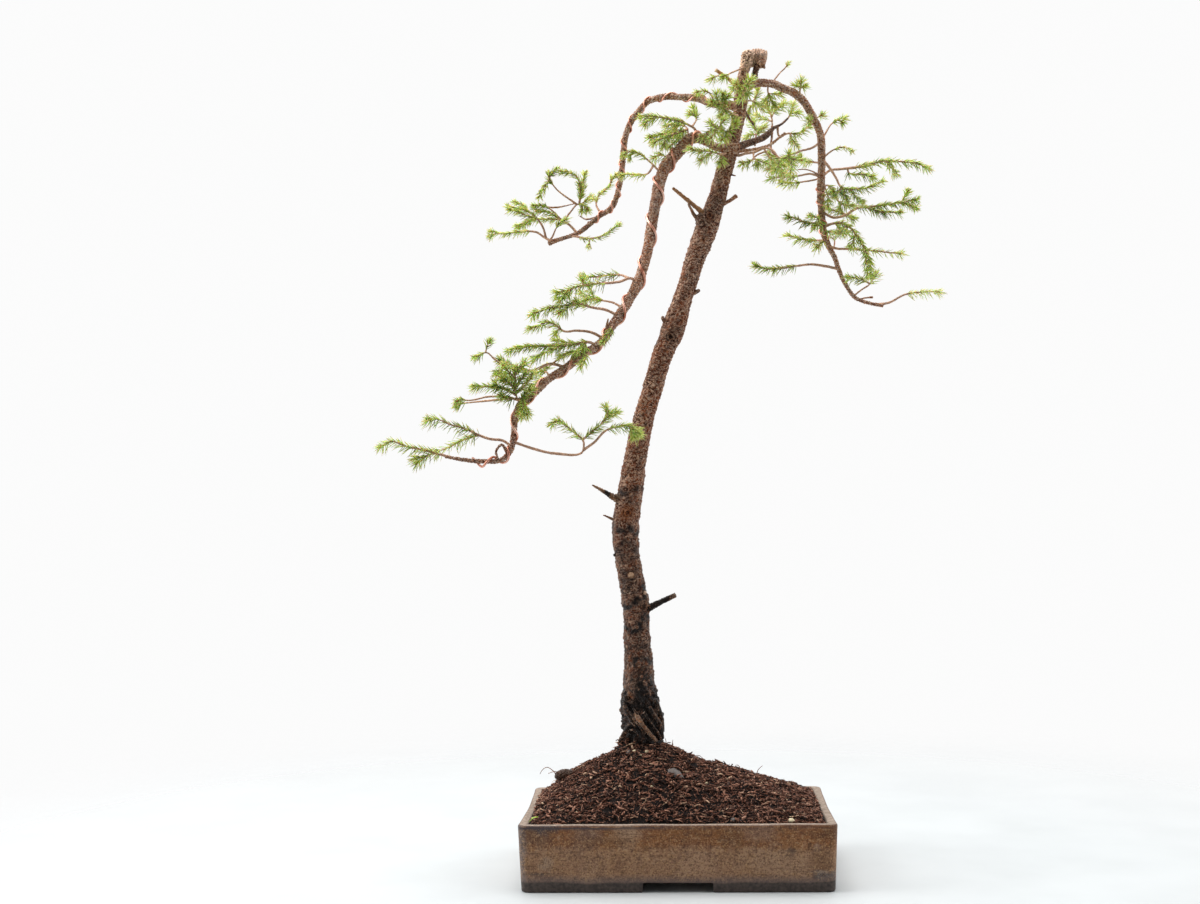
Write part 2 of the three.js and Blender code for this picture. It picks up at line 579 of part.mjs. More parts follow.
// The pot: one wall and floor, on four corner feet left between the notches
function makePot() {
  const reach = 5; // cutters run this far past the face they open
  const notchHeight = FOOT_HEIGHT + reach;
  const notchMiddle = FOOT_HEIGHT - notchHeight / 2;
  let pot = potBlock(0, 0, POT_HEIGHT)
    .subtract(potBlock(POT_WALL, FLOOR_TOP, POT_HEIGHT + reach))
    .subtract(potBlock(FOOT_WIDTH, -reach, FOOT_HEIGHT))
    .subtract(box(FRONT_NOTCH, POT_DEPTH + reach, notchHeight, 0, 0, notchMiddle))
    .subtract(box(POT_LENGTH + reach, SIDE_NOTCH, notchHeight, 0, 0, notchMiddle));
  for (const side of [-1, 1]) {
    const drain = new THREE.CylinderGeometry(DRAIN_RADIUS, DRAIN_RADIUS, 2 * FLOOR_TOP, 16);
    drain.rotateX(Math.PI / 2).translate(side * DRAIN_OFFSET, 0, FLOOR_TOP);
    pot = pot.subtract(toSolid(drain));
  }
  return piece('pot', pot, GLAZE);
}

// A square screen with square holes
function makeScreen(name, x) {
  const z = FLOOR_TOP + GAP + SCREEN_THICKNESS / 2;
  const pitch = (SCREEN_SIZE - SCREEN_BAR) / SCREEN_HOLES;
  const width = pitch - SCREEN_BAR;
  const middle = (SCREEN_HOLES - 1) / 2;
  let screen = box(SCREEN_SIZE, SCREEN_SIZE, SCREEN_THICKNESS, x, 0, z);
  for (let row = 0; row < SCREEN_HOLES; row += 1) {
    for (let column = 0; column < SCREEN_HOLES; column += 1) {
      const left = x + (column - middle) * pitch;
      const low = (row - middle) * pitch;
      screen = screen.subtract(box(width, width, 2 * SCREEN_THICKNESS, left, low, z));
    }
  }
  return piece(name, screen, SCREEN);
}

// The mound's height above SOIL_EDGE along the pot's length, at the middle of its depth
const MOUND = [
  [-165, 3], [-150, 22], [-120, 44], [-90, 57], [-62, 68], [-39, 74],
  [-14, 70], [22, 56], [60, 46], [110, 31], [145, 16], [165, 2],
];

function moundHeight(x, y) {
  const after = Math.max(MOUND.findIndex(([station]) => station >= x), 1);
  const [x0, h0] = MOUND[after - 1];
  const [x1, h1] = MOUND[after];
  const crest = THREE.MathUtils.lerp(h0, h1, THREE.MathUtils.smoothstep(x, x0, x1));
  const acrossPot = Math.min(Math.abs(y) / (POT_DEPTH / 2 - POT_WALL), 1);
  return SOIL_EDGE + crest * (1 - acrossPot ** SOIL_FALL);
}

// The distance from a point to the pot's inside in a direction, as if its corners were square
function reachToWall(x, y, angle) {
  const halfX = POT_LENGTH / 2 - POT_WALL - GAP;
  const halfY = POT_DEPTH / 2 - POT_WALL - GAP;
  const alongX = (Math.sign(Math.cos(angle)) * halfX - x) / Math.cos(angle);
  const alongY = (Math.sign(Math.sin(angle)) * halfY - y) / Math.sin(angle);
  return Math.min(alongX, alongY);
}

// Soil: a lathe of rings round the trunk, pulled out past the pot's inside, raised into a mound
// and cut to fit. A plain hole takes the trunk.
function makeSoil(trunkHole) {
  const profile = [new THREE.Vector2(0, FLOOR_TOP + GAP), new THREE.Vector2(1, FLOOR_TOP + GAP)];
  for (let ring = SOIL_RINGS; ring >= 0; ring -= 1) {
    profile.push(new THREE.Vector2(ring / SOIL_RINGS, SOIL_EDGE));
  }
  const geometry = new THREE.LatheGeometry(profile, SOIL_SPOKES).rotateX(Math.PI / 2);
  geometry.deleteAttribute('normal');
  geometry.deleteAttribute('uv');
  const merged = mergeVertices(geometry, 1e-4);
  const position = merged.attributes.position;
  const [centreX, centreY] = BRANCHES.trunk[2];
  const random = seeded(11);
  for (let i = 0; i < position.count; i += 1) {
    const ring = Math.hypot(position.getX(i), position.getY(i));
    const angle = Math.atan2(position.getY(i), position.getX(i)) + 0.01;
    const reach = ring * SOIL_OVERREACH * reachToWall(centreX, centreY, angle);
    const bottom = position.getZ(i) < SOIL_EDGE - 1;
    const shrink = 1 - splayAt(bottom ? FLOOR_TOP : SOIL_EDGE) / (POT_DEPTH / 2);
    const x = (centreX + reach * Math.cos(angle)) * shrink;
    const y = (centreY + reach * Math.sin(angle)) * shrink;
    const roughness = ring > 0.99 ? 0 : SOIL_RELIEF * (2 * random() - 1);
    position.setXYZ(i, x, y, bottom ? FLOOR_TOP + GAP : moundHeight(x, y) + roughness);
  }
  let soil = toSolid(merged).intersect(potBlock(POT_WALL + GAP, FLOOR_TOP, 3 * POT_HEIGHT));
  for (const side of [-1, 1]) {
    const room = SCREEN_SIZE + 2 * GAP;
    const height = SCREEN_THICKNESS + 2 * GAP;
    soil = soil.subtract(box(room, room, 2 * height, side * DRAIN_OFFSET, 0, FLOOR_TOP));
  }
  return piece('soil', largestBody(soil.subtract(trunkHole)), SOIL);
}

function curveThrough(points) {
  return new THREE.CatmullRomCurve3(points.map(([x, y, z]) => new THREE.Vector3(x, y, z)));
}

// Rings along a smooth curve: each has a centre, two directions across the curve and a radius.
// The first ring is square to firstDirection where one is given.
function ringsAlong(route, radiusAt, steps, firstDirection = null) {
  const curve = curveThrough(route);
  const rings = [];
  let across = new THREE.Vector3(0, -1, 0.1);
  for (let i = 0; i <= steps; i += 1) {
    const along = i === 0 && firstDirection ? firstDirection : curve.getTangent(i / steps);
    across = across.clone().addScaledVector(along, -across.dot(along)).normalize();
    rings.push({
      centre: curve.getPoint(i / steps),
      across,
      side: new THREE.Vector3().crossVectors(across, along),
      radius: radiusAt(i / steps),
    });
  }
  return rings;
}

// A unit cylinder bent so that its rows of vertices lie on the rings
function tube(rings, sides, relief = 0, random = () => 0.5) {
  const steps = rings.length - 1;
  const geometry = new THREE.CylinderGeometry(1, 1, 1, sides, steps);
  geometry.deleteAttribute('normal');
  geometry.deleteAttribute('uv');
  const merged = mergeVertices(geometry, 1e-4);
  const position = merged.attributes.position;
  for (let i = 0; i < position.count; i += 1) {
    const ring = rings[Math.round((position.getY(i) + 0.5) * steps)];
    const scale = ring.radius * (1 + relief * (2 * random() - 1));
    const point = ring.centre.clone()
      .addScaledVector(ring.across, position.getX(i) * scale)
      .addScaledVector(ring.side, position.getZ(i) * scale);
    position.setXYZ(i, point.x, point.y, point.z);
  }
  return toSolid(merged);
}

// Wood: one ring at each point, with the radius given there
function woodRings(stations) {
  const spans = stations.length - 1;
  return ringsAlong(stations, (t) => stations[Math.round(t * spans)][3], spans);
}

// A shoot's core: straight lengths between points spaced evenly on its curve
function shootRings(route, startRadius, firstDirection) {
  const curve = curveThrough(route);
  const steps = Math.max(Math.ceil(curve.getLength() / SHOOT_STEP), 1);
  const spaced = curve.getSpacedPoints(steps).map((point) => point.toArray());
  const radiusAt = (t) => THREE.MathUtils.lerp(startRadius, SHOOT_RADIUS, t);
  return ringsAlong(spaced, radiusAt, steps, firstDirection);
}

const branchRings = {};
for (const [name, stations] of Object.entries(BRANCHES)) {
  branchRings[name] = woodRings(stations);
}

// Round-ended bars standing for everything that needles keep clear of, with their owner's name
const bars = [];

function addBars(owner, rings) {
  for (let i = 1; i < rings.length; i += 1) {
    bars.push({
      owner,
      start: rings[i - 1].centre,
      end: rings[i].centre,
      radius: Math.max(rings[i - 1].radius, rings[i].radius),
    });
  }
}

// The least distance between two straight lines with ends
function lineDistance(a0, a1, b0, b1) {
  const a = a1.clone().sub(a0);
  const b = b1.clone().sub(b0);
  const apart = a0.clone().sub(b0);
  const aa = a.dot(a);
  const bb = b.dot(b);
  const ab = a.dot(b);
  const cross = aa * bb - ab * ab;
  const clamp = THREE.MathUtils.clamp;
  let s = cross > 1e-9 ? clamp((ab * b.dot(apart) - bb * a.dot(apart)) / cross, 0, 1) : 0;
  const t = clamp((ab * s + b.dot(apart)) / bb, 0, 1);
  s = clamp((ab * t - a.dot(apart)) / aa, 0, 1);
  return apart.addScaledVector(a, s).addScaledVector(b, -t).length();
}

function nearestOn(rings, point) {
  let nearest = null;
  for (let i = 1; i < rings.length; i += 1) {
    const line = new THREE.Line3(rings[i - 1].centre, rings[i].centre);
    const t = line.closestPointToPointParameter(point, true);
    const place = line.at(t, new THREE.Vector3());
    const radius = THREE.MathUtils.lerp(rings[i - 1].radius, rings[i].radius, t);
    const distance = place.distanceTo(point);
    if (!nearest || distance < nearest.distance) nearest = { place, radius, distance };
  }
  return nearest;
}

// The place on a branch's axis nearest to a point, and how far the point stands off the bark
function nearestBranch(point) {
  const all = Object.values(branchRings).map((rings) => nearestOn(rings, point));
  const found = all.reduce((best, each) =>
    (each.distance - each.radius < best.distance - best.radius ? each : best));
  return { place: found.place, standOff: found.distance - found.radius };
}

// The collar of bark at a shoot's root, and the point just past it where the spray itself starts
function makeCollar(route, shootRadius) {
  const first = new THREE.Vector3(...route[0]);
  const axis = nearestBranch(first).place;
  const direction = new THREE.Vector3(...route[1]).sub(axis).normalize();
  let reach = 0;
  while (nearestBranch(axis.clone().addScaledVector(direction, reach)).standOff <= 0) {
    reach += 0.25;
  }
  const end = axis.clone().addScaledVector(direction, reach + COLLAR_LENGTH);
  const start = axis.clone().addScaledVector(direction, reach * 0.4);
  const radiusAt = (t) => shootRadius * THREE.MathUtils.lerp(COLLAR_FLARE, COLLAR_END, t);
  const rings = ringsAlong([start.toArray(), end.toArray()], radiusAt, 1);
  addBars('wood', rings);
  return { solid: tube(rings, 3), shootStart: end.addScaledVector(direction, GAP), direction };
}

const collars = [];

// The first core of a spray: it starts in its collar's mouth, square to it
function mainCore(points) {
  const startRadius = SHOOT_RADIUS + SHOOT_TAPER * curveThrough(points).getLength();
  const { solid, shootStart, direction } = makeCollar(points, startRadius);
  collars.push(solid);
  const lead = shootStart.clone().addScaledVector(direction, SHOOT_LEAD);
  const rest = points.slice(1).filter((p) => lead.distanceTo(new THREE.Vector3(...p)) > SHOOT_CLEAR);
  return shootRings([shootStart.toArray(), lead.toArray(), ...rest], startRadius, direction);
}

// Any other core: it starts on the axis of the nearest core made before it
function sideCore(points, cores) {
  const startRadius = SHOOT_RADIUS + SHOOT_TAPER * curveThrough(points).getLength();
  const anchors = cores.map((core) => nearestOn(core.rings, new THREE.Vector3(...points[0])));
  const anchor = anchors.reduce((best, each) => (each.distance < best.distance ? each : best));
  return shootRings([anchor.place.toArray(), ...points.slice(1)], startRadius);
}

// All cores come first, so that needles can keep clear of every one of them
const sprays = {};
for (const [name, paths] of Object.entries(SPRAYS)) {
  const cores = [];
  for (const [leafyFrom, ...points] of paths) {
    const rings = cores.length === 0 ? mainCore(points) : sideCore(points, cores);
    addBars(name, rings);
    cores.push({ rings, leafyPoint: new THREE.Vector3(...points[leafyFrom]), leafyFrom });
  }
  sprays[name] = cores;
}

for (const rings of Object.values(branchRings)) {
  addBars('wood', rings);
}

// Trunk, branches, stubs and collars, grown together as one
function makeWood() {
  const random = seeded(5);
  const parts = [];
  for (const [name, rings] of Object.entries(branchRings)) {
    const sides = name === 'trunk' ? TRUNK_SIDES : BRANCH_SIDES;
    parts.push(tube(rings, sides, BARK_RELIEF, random));
  }
  for (const stations of Object.values(STUBS)) {
    const rings = woodRings(stations);
    addBars('wood', rings);
    parts.push(tube(rings, rings[0].radius > TWIG_RADIUS ? BRANCH_SIDES : TWIG_SIDES));
  }
  return piece('trunk_and_branches', largestBody(join([...parts, ...collars])), BARK);
}

// A copper wire wound round a branch, clear of the bark
function makeWire(name, { branch, from, to, turns, start, radius }) {
  const rings = branchRings[branch];
  const steps = Math.round(turns * WIRE_STEPS);
  const bulge = 1 / Math.cos(Math.PI / WIRE_STEPS);
  const route = [];
  for (let i = 0; i <= steps; i += 1) {
    const place = THREE.MathUtils.lerp(from, to, i / steps) * (rings.length - 1);
    const span = Math.min(Math.floor(place), rings.length - 2);
    const before = rings[span];
    const after = rings[span + 1];
    const blend = place - span;
    const angle = THREE.MathUtils.degToRad(start + (360 * turns * i) / steps);
    const wood = THREE.MathUtils.lerp(before.radius, after.radius, blend);
    const offset = (wood + radius + WIRE_CLEARANCE) * bulge;
    const point = before.centre.clone().lerp(after.centre, blend)
      .addScaledVector(before.across.clone().lerp(after.across, blend), Math.cos(angle) * offset)
      .addScaledVector(before.side.clone().lerp(after.side, blend), Math.sin(angle) * offset);
    route.push(point.toArray());
  }
  const wire = ringsAlong(route, () => radius, steps);
  addBars(name, wire);
  return piece(name, tube(wire, radius < SHOOT_RADIUS ? 3 : 4), COPPER);
}

// A three-sided needle from a root in the direction given
function needle(root, direction, length) {
  const geometry = new THREE.ConeGeometry(NEEDLE_RADIUS, length, 3).translate(0, length / 2, 0);
  const turn = new THREE.Quaternion().setFromUnitVectors(new THREE.Vector3(0, 1, 0), direction);
  geometry.applyQuaternion(turn).translate(root.x, root.y, root.z);
  return toSolid(geometry);
}

// True where a needle would touch a bar that it doesn't grow from
function isBlocked(owner, root, tip) {
  const clear = root.clone().lerp(tip, 0.3);
  return bars.some((bar) => {
    const from = bar.owner === owner ? clear : root;
    return lineDistance(from, tip, bar.start, bar.end) < bar.radius + NEEDLE_RADIUS + GAP;
  });
}

// The lengths along a core, from its root to each of its rings
function ringDistances(rings) {
  const distances = [0];
  for (let i = 1; i < rings.length; i += 1) {
    distances.push(distances[i - 1] + rings[i].centre.distanceTo(rings[i - 1].centre));
  }
  return distances;
}

// The place at a distance along a core, kept clear of the next bend
function placeOn(rings, distances, distance) {
  const span = Math.max(distances.findIndex((each) => each > distance), 1);
  const last = span === rings.length - 1;
  const clear = last ? distance : Math.min(distance, distances[span] - JOINT_CLEAR);
  const before = rings[span - 1];
  const after = rings[span];
  const blend = (clear - distances[span - 1]) / (distances[span] - distances[span - 1]);
  return {
    root: before.centre.clone().lerp(after.centre, blend),
    along: after.centre.clone().sub(before.centre).normalize(),
    across: before.across,
    side: before.side,
  };
}

// Needles along one core, each out of the middle of one of its three faces in turn, the last
// ones round the bud. One that would touch something moves to the next face, and is left out
// where no face clears it.
function needlesAlong(owner, { rings, leafyPoint, leafyFrom }, random) {
  const distances = ringDistances(rings);
  const length = distances[distances.length - 1];
  const bare = Math.min(leafyPoint.distanceTo(rings[0].centre), length * 0.8);
  const first = leafyFrom === 0 ? FIRST_NEEDLE : bare;
  const leafy = Math.max(length - BUD_LENGTH - first, 0);
  const count = Math.round(leafy / NEEDLE_SPACING);
  const needles = [];
  for (let i = 0; i < count + BUD_NEEDLES; i += 1) {
    const atBud = i >= count;
    const distance = atBud ? length - BUD_LENGTH + BUD_STEP * (i - count) : first + (leafy * i) / count;
    const { root, along, across, side } = placeOn(rings, distances, distance);
    const spread = () => 2 * random() - 1;
    const lean = atBud ? BUD_LEAN : NEEDLE_LEAN + NEEDLE_LEAN_SPREAD * spread();
    const leanAngle = THREE.MathUtils.degToRad(lean);
    const size = NEEDLE_LENGTH * (1 + NEEDLE_LENGTH_SPREAD * spread());
    const turn = NEEDLE_TURN_SPREAD * spread();
    for (let face = i; face < i + 3; face += 1) {
      const angle = THREE.MathUtils.degToRad(60 + 120 * face + turn);
      const outward = across.clone().multiplyScalar(Math.sin(angle))
        .addScaledVector(side, Math.cos(angle));
      const direction = along.clone().multiplyScalar(Math.cos(leanAngle))
        .addScaledVector(outward, Math.sin(leanAngle)).normalize();
      const tip = root.clone().addScaledVector(direction, size);
      if (!isBlocked(owner, root, tip)) {
        needles.push(needle(root, direction, size));
        const start = root.clone().lerp(tip, 0.25);
        bars.push({ owner, start, end: tip, radius: NEEDLE_RADIUS });
        break;
      }
    }
  }
  return needles;
}

function makeSpray(name, cores, random) {
  const parts = [];
  for (const core of cores) {
    parts.push(tube(core.rings, 3), ...needlesAlong(name, core, random));
  }
  return piece(`spray_${name}`, largestBody(join(parts)), NEEDLES);
}

// The trunk's hole in the soil: the trunk's lowest rings, wider and a little deeper
function makeTrunkHole() {
  const stations = BRANCHES.trunk.slice(0, 6).map(([x, y, z, radius], i) =>
    [x, y, i === 0 ? z - GAP : z, radius * (1 + BARK_RELIEF) + TRUNK_HOLE_CLEARANCE]);
  return tube(woodRings(stations), TRUNK_SIDES);
}

const bonsai = new THREE.Group();
bonsai.add(makePot());
bonsai.add(makeScreen('drain_screen_left', -DRAIN_OFFSET));
bonsai.add(makeScreen('drain_screen_right', DRAIN_OFFSET));
bonsai.add(makeSoil(makeTrunkHole()));
bonsai.add(makeWood());
for (const [name, wire] of Object.entries(WIRES)) {
  bonsai.add(makeWire(name, wire));
}
const random = seeded(23);
for (const [name, cores] of Object.entries(sprays)) {
  bonsai.add(makeSpray(name, cores, random));
}

export default bonsai;
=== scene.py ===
# %% [markdown]
# # A spruce bonsai in its glazed pot
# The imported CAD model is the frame. The Blender pieces below take the place of its nodes, in the same
# coordinates, and add what is too small for a node, such as bark chips. All sizes are in millimetres and
# turned into metres where a mesh is made. The origin is on the ground under the middle of the pot, +Z is
# up, and the tree's front looks along -Y.

import bpy
import numpy as np
from mathutils import Matrix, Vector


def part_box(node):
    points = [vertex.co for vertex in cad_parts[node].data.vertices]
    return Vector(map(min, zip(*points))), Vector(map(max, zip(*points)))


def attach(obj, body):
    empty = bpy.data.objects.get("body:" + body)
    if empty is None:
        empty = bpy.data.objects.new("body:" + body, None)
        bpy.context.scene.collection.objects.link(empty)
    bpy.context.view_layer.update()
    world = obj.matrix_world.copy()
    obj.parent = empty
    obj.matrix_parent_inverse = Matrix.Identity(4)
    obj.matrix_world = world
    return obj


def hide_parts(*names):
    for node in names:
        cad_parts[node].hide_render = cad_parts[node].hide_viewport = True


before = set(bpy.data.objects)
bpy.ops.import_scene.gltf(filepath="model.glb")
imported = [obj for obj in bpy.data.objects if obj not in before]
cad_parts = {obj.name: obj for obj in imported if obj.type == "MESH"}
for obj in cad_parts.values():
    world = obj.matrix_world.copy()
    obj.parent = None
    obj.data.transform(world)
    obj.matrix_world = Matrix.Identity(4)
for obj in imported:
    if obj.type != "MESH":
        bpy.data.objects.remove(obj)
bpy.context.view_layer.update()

MM = 0.001
TURN = 2 * np.pi

# %% [markdown]
# ## Camera
# A camera some two metres away, a little above the middle of the trunk, sees the whole tree with hardly
# any distortion. A lens of 52 mm on a 36 mm sensor frames it. The heading is turned a little to the left,
# the camera looks slightly up, and it leans by less than a degree.

# %% Camera
CAMERA_PLACE = (6.1, -2038.7, 444.1)
CAMERA_HEADING, CAMERA_RISE, CAMERA_LEAN = 2.567, 1.252, -0.715  # degrees
camera = bpy.data.objects.new("camera", bpy.data.cameras.new("camera"))
bpy.context.collection.objects.link(camera)
camera.data.lens = 51.99
camera.data.sensor_width = 36
camera.matrix_world = (
    Matrix.Translation([value * MM for value in CAMERA_PLACE])
    @ Matrix.Rotation(np.radians(CAMERA_HEADING), 4, "Z")
    @ Matrix.Rotation(np.radians(90 + CAMERA_RISE), 4, "X")
    @ Matrix.Rotation(np.radians(CAMERA_LEAN), 4, "Z")
)
bpy.context.scene.camera = camera
print("camera at", CAMERA_PLACE, "mm")

# %% [markdown]
# ## Materials: a few small helpers
# Colours are picked as sRGB hex values, the way a paint program shows them, and a shader wants them
# linear. A material is a tree of nodes. One helper adds a node, sets its properties, fills its inputs and
# gives back one of its outputs, so each material below reads as a short list of what its surface is made of.
# Patterns are laid out in Object coordinates, which are metres on the part, so a size in mm stays that size.

# %% Colour and node helpers
def linear(hex_colour):
    """An sRGB hex colour as linear red, green, blue and alpha: the sRGB curve undone on each channel."""
    srgb = np.array([int(hex_colour[i:i + 2], 16) / 255 for i in (0, 2, 4)])
    rgb = np.where(srgb <= 0.04045, srgb / 12.92, ((srgb + 0.055) / 1.055) ** 2.4)
    return (*rgb.tolist(), 1.0)


def add(tree, kind, inputs=None, output=0, stops=None, **settings):
    """Adds a node and gives back one of its outputs, by number or name.

    An input takes a value, an sRGB hex colour, or another node's output, which is linked to it. stops are
    the places and colours of a colour ramp. settings are the node's own properties.
    """
    node = tree.nodes.new(kind)
    for name, value in settings.items():
        setattr(node, name, value)
    for name, value in (inputs or {}).items():
        if isinstance(value, bpy.types.NodeSocket):
            tree.links.new(value, node.inputs[name])
        else:
            node.inputs[name].default_value = linear(value) if isinstance(value, str) else value
    for i, (place, colour) in enumerate(stops or []):
        spots = node.color_ramp.elements
        spot = spots[i] if i < 2 else spots.new(place)
        spot.position, spot.color = place, linear(colour)
    return node.outputs[output]


def new_material(name, **shader):
    """A material with one Principled shader. Gives back the material, its tree and its Object coordinates."""
    material = bpy.data.materials.new(name)
    material.use_nodes = True
    tree = material.node_tree
    for socket, value in shader.items():
        tree.nodes["Principled BSDF"].inputs[socket.replace("_", " ")].default_value = value
    return material, tree, add(tree, "ShaderNodeTexCoord", output="Object")


def laid_over(tree, colour, *layers):
    """The colour with tones mixed over it, one after another. A layer: source, low, high, most and tone.

    A tone's share is 0 where the source is at low, grows evenly to most where it is at high, and stays there.
    """
    for source, low, high, most, tone in layers:
        share = add(tree, "ShaderNodeMapRange", {
            "Value": source, "From Min": low, "From Max": high, "To Max": most})
        colour = add(tree, "ShaderNodeMix", {0: share, 6: colour, 7: tone}, output=2, data_type="RGBA")
    return colour


def finish_surface(tree, bump=None, **outputs):
    """Links outputs to the shader's inputs of those names, with _ for a space.

    bump is a height, the depth in mm that it stands for, and a strength. It goes to the shader's normal.
    """
    if bump:
        height, depth, strength = bump
        outputs["Normal"] = add(tree, "ShaderNodeBump", {
            "Height": height, "Distance": depth * MM, "Strength": strength})
    for socket, source in outputs.items():
        tree.links.new(source, tree.nodes["Principled BSDF"].inputs[socket.replace("_", " ")])


print("white is", linear("ffffff"))

# %% [markdown]
# ## Meshes: surfaces on grids
# Everything that grows here is a profile carried along a path: trunk, twigs, wires and hairs. Everything
# else is a surface over two parameters too. So a few helpers do for the whole tree: one that draws a smooth
# path through points, one that gives each place on it two directions square to it, one that sweeps rings
# along it, and one that puts finished arrays into a mesh.

# %% Mesh helpers
def smooth_path(points, step):
    """Even samples on a smooth curve through points, and the distance along the curve at each.

    Between two points every column is a cubic over the chord; its slope at a point is that of the parabola
    through the point and its two neighbours. Columns after x, y, z, such as a radius, are carried along.
    """
    points = np.asarray(points, float)
    chord = np.linalg.norm(np.diff(points[:, :3], axis=0), axis=1)[:, None]
    slope = np.diff(points, axis=0) / chord
    tangent = np.concatenate([slope[:1], slope])
    tangent[1:-1] = (slope[:-1] * chord[1:] + slope[1:] * chord[:-1]) / (chord[1:] + chord[:-1])
    u = np.linspace(0, 1, 16, endpoint=False)[None, :, None]
    chord = chord[:, None]
    fine = (points[:-1, None] * (2 * u**3 - 3 * u**2 + 1) + points[1:, None] * (3 * u**2 - 2 * u**3)
            + tangent[:-1, None] * chord * (u**3 - 2 * u**2 + u) + tangent[1:, None] * chord * (u**3 - u**2))
    fine = np.concatenate([fine.reshape(-1, points.shape[1]), points[-1:]])
    run = np.concatenate([[0], np.cumsum(np.linalg.norm(np.diff(fine[:, :3], axis=0), axis=1))])
    even = np.linspace(0, run[-1], max(int(run[-1] / step), 2) + 1)
    return np.stack([np.interp(even, run, column) for column in fine.T], axis=1), even


def unit(vectors):
    """Vectors of length 1 with the same directions."""
    return vectors / np.linalg.norm(vectors, axis=-1, keepdims=True)


def frames_along(centres, level=None):
    """Unit tangent, and two unit directions square to it, at each point of a path.

    The first is level, made square to each tangent in turn. Where none is given, level is the direction
    that the tangents all are most nearly square to: the eigenvector of their summed squares with the least
    eigenvalue.
    """
    tangent = unit(np.gradient(centres, axis=0))
    if level is None:
        level = np.linalg.eigh(tangent.T @ tangent)[1][:, 0]
        level = level if level[1] < 0 else -level
    across = unit(level - (tangent * level).sum(axis=1, keepdims=True) * tangent)
    return tangent, across, np.cross(tangent, across)


def sweep(centres, radii, columns, level=None):
    """Rings along a path: centre + radius * (across * cos + side * sin). radii may differ round a ring."""
    angle = np.linspace(0, TURN, columns, endpoint=False)
    _, across, side = frames_along(centres, level)
    outward = across[:, None] * np.cos(angle)[:, None] + side[:, None] * np.sin(angle)[:, None]
    return centres[:, None] + outward * np.broadcast_to(radii, (len(centres), columns))[..., None]


def tube_faces(rows, columns):
    """Quads of a grid whose last column joins its first, facing out of a swept tube."""
    row, column = np.meshgrid(np.arange(rows - 1), np.arange(columns), indexing="ij")
    here = row * columns + column
    beside = row * columns + (column + 1) % columns
    return np.stack([here, beside, beside + columns, here + columns], axis=-1).reshape(-1, 4)


def closed_tube(grid):
    """Vertices and faces of a swept grid with a pole at the middle of each end ring."""
    rows, columns = grid.shape[:2]
    vertices = np.concatenate([grid.reshape(-1, 3), [grid[0].mean(axis=0), grid[-1].mean(axis=0)]])
    start, end = rows * columns, rows * columns + 1
    first = np.arange(columns)
    last = first + (rows - 1) * columns
    lower = np.stack([np.full(columns, start), np.roll(first, -1), first], axis=1)
    upper = np.stack([np.full(columns, end), last, np.roll(last, -1)], axis=1)
    return vertices, [tube_faces(rows, columns), lower, upper]


def closed_ring(grid):
    """Vertices and faces of a closed profile carried round a closed path: both grid directions join up."""
    rows, columns = grid.shape[:2]
    closing = tube_faces(2, columns)
    closing = np.where(closing >= columns, closing - columns, closing + (rows - 1) * columns)
    return grid.reshape(-1, 3), [tube_faces(rows, columns), closing]


def gather(parts):
    """One list of vertices and faces from many, the faces counted on. Each part: (vertices, [faces, ...])."""
    vertices = np.concatenate([part[0] for part in parts])
    starts = np.concatenate([[0], np.cumsum([len(part[0]) for part in parts])[:-1]])
    faces = [each + start for part, start in zip(parts, starts) for each in part[1]]
    sizes = sorted({each.shape[1] for each in faces})
    return vertices, [np.concatenate([each for each in faces if each.shape[1] == size]) for size in sizes]


def make_piece(name, vertices, faces, material, slot, replaces=(), flat=False, **values):
    """Puts arrays into a mesh object that rides on the part, and prints its size.

    vertices are in mm. values are named numbers, one for each vertex, which the material can read.
    """
    mesh = bpy.data.meshes.new(name)
    corners = np.concatenate([each.ravel() for each in faces])
    sizes = np.concatenate([np.full(len(each), each.shape[1]) for each in faces])
    mesh.vertices.add(len(vertices))
    mesh.vertices.foreach_set("co", (vertices * MM).astype(np.float32).ravel())
    mesh.loops.add(len(corners))
    mesh.loops.foreach_set("vertex_index", corners.astype(np.int32))
    mesh.polygons.add(len(sizes))
    starts = np.concatenate([[0], np.cumsum(sizes)[:-1]])
    mesh.polygons.foreach_set("loop_start", starts.astype(np.int32))
    mesh.update(calc_edges=True)
    if not flat:
        mesh.shade_smooth()
    for key, numbers in values.items():
        layer = mesh.attributes.new(key, "FLOAT", "POINT")
        layer.data.foreach_set("value", np.asarray(numbers, np.float32).ravel())
    piece = bpy.data.objects.new(name, mesh)
    bpy.context.collection.objects.link(piece)
    mesh.materials.append(material)
    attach(piece, "root")
    if replaces:
        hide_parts(*replaces)
    print(f"{name}: {int((sizes - 2).sum())} triangles")


samples = smooth_path([(0, 0, 0), (9, 0, 3), (20, 0, 0)], 1)[0]
print("a path through three points has", len(samples), "samples")

# %% [markdown]
# ## Unevenness
# Bark, glaze and soil are never even, at several scales at once. Two kinds of unevenness serve. A soft drift
# is a sum of sine waves that run in random directions. Cells split space into patches round scattered
# centres, like plates of bark: each cell has a value of its own, and the distance to its border gives the
# cracks between them. Both are worked out for whole arrays of points, and come out the same on every run.

# %% Soft drift and cells
def drift(points, wavelength, seed):
    """Soft unevenness of about -1 to 1: the sum of seven sines near one wavelength, over the root of seven.

    Each sine runs in a random direction, 0.6 to 1.5 wavelengths to a turn.
    """
    waves = 7
    random = np.random.default_rng(seed)
    direction = unit(random.normal(size=(waves, 3))) / (wavelength * random.uniform(0.6, 1.5, (waves, 1)))
    phase = random.uniform(0, TURN, waves)
    return np.sin(points @ direction.T * TURN + phase).sum(axis=-1) / np.sqrt(waves)


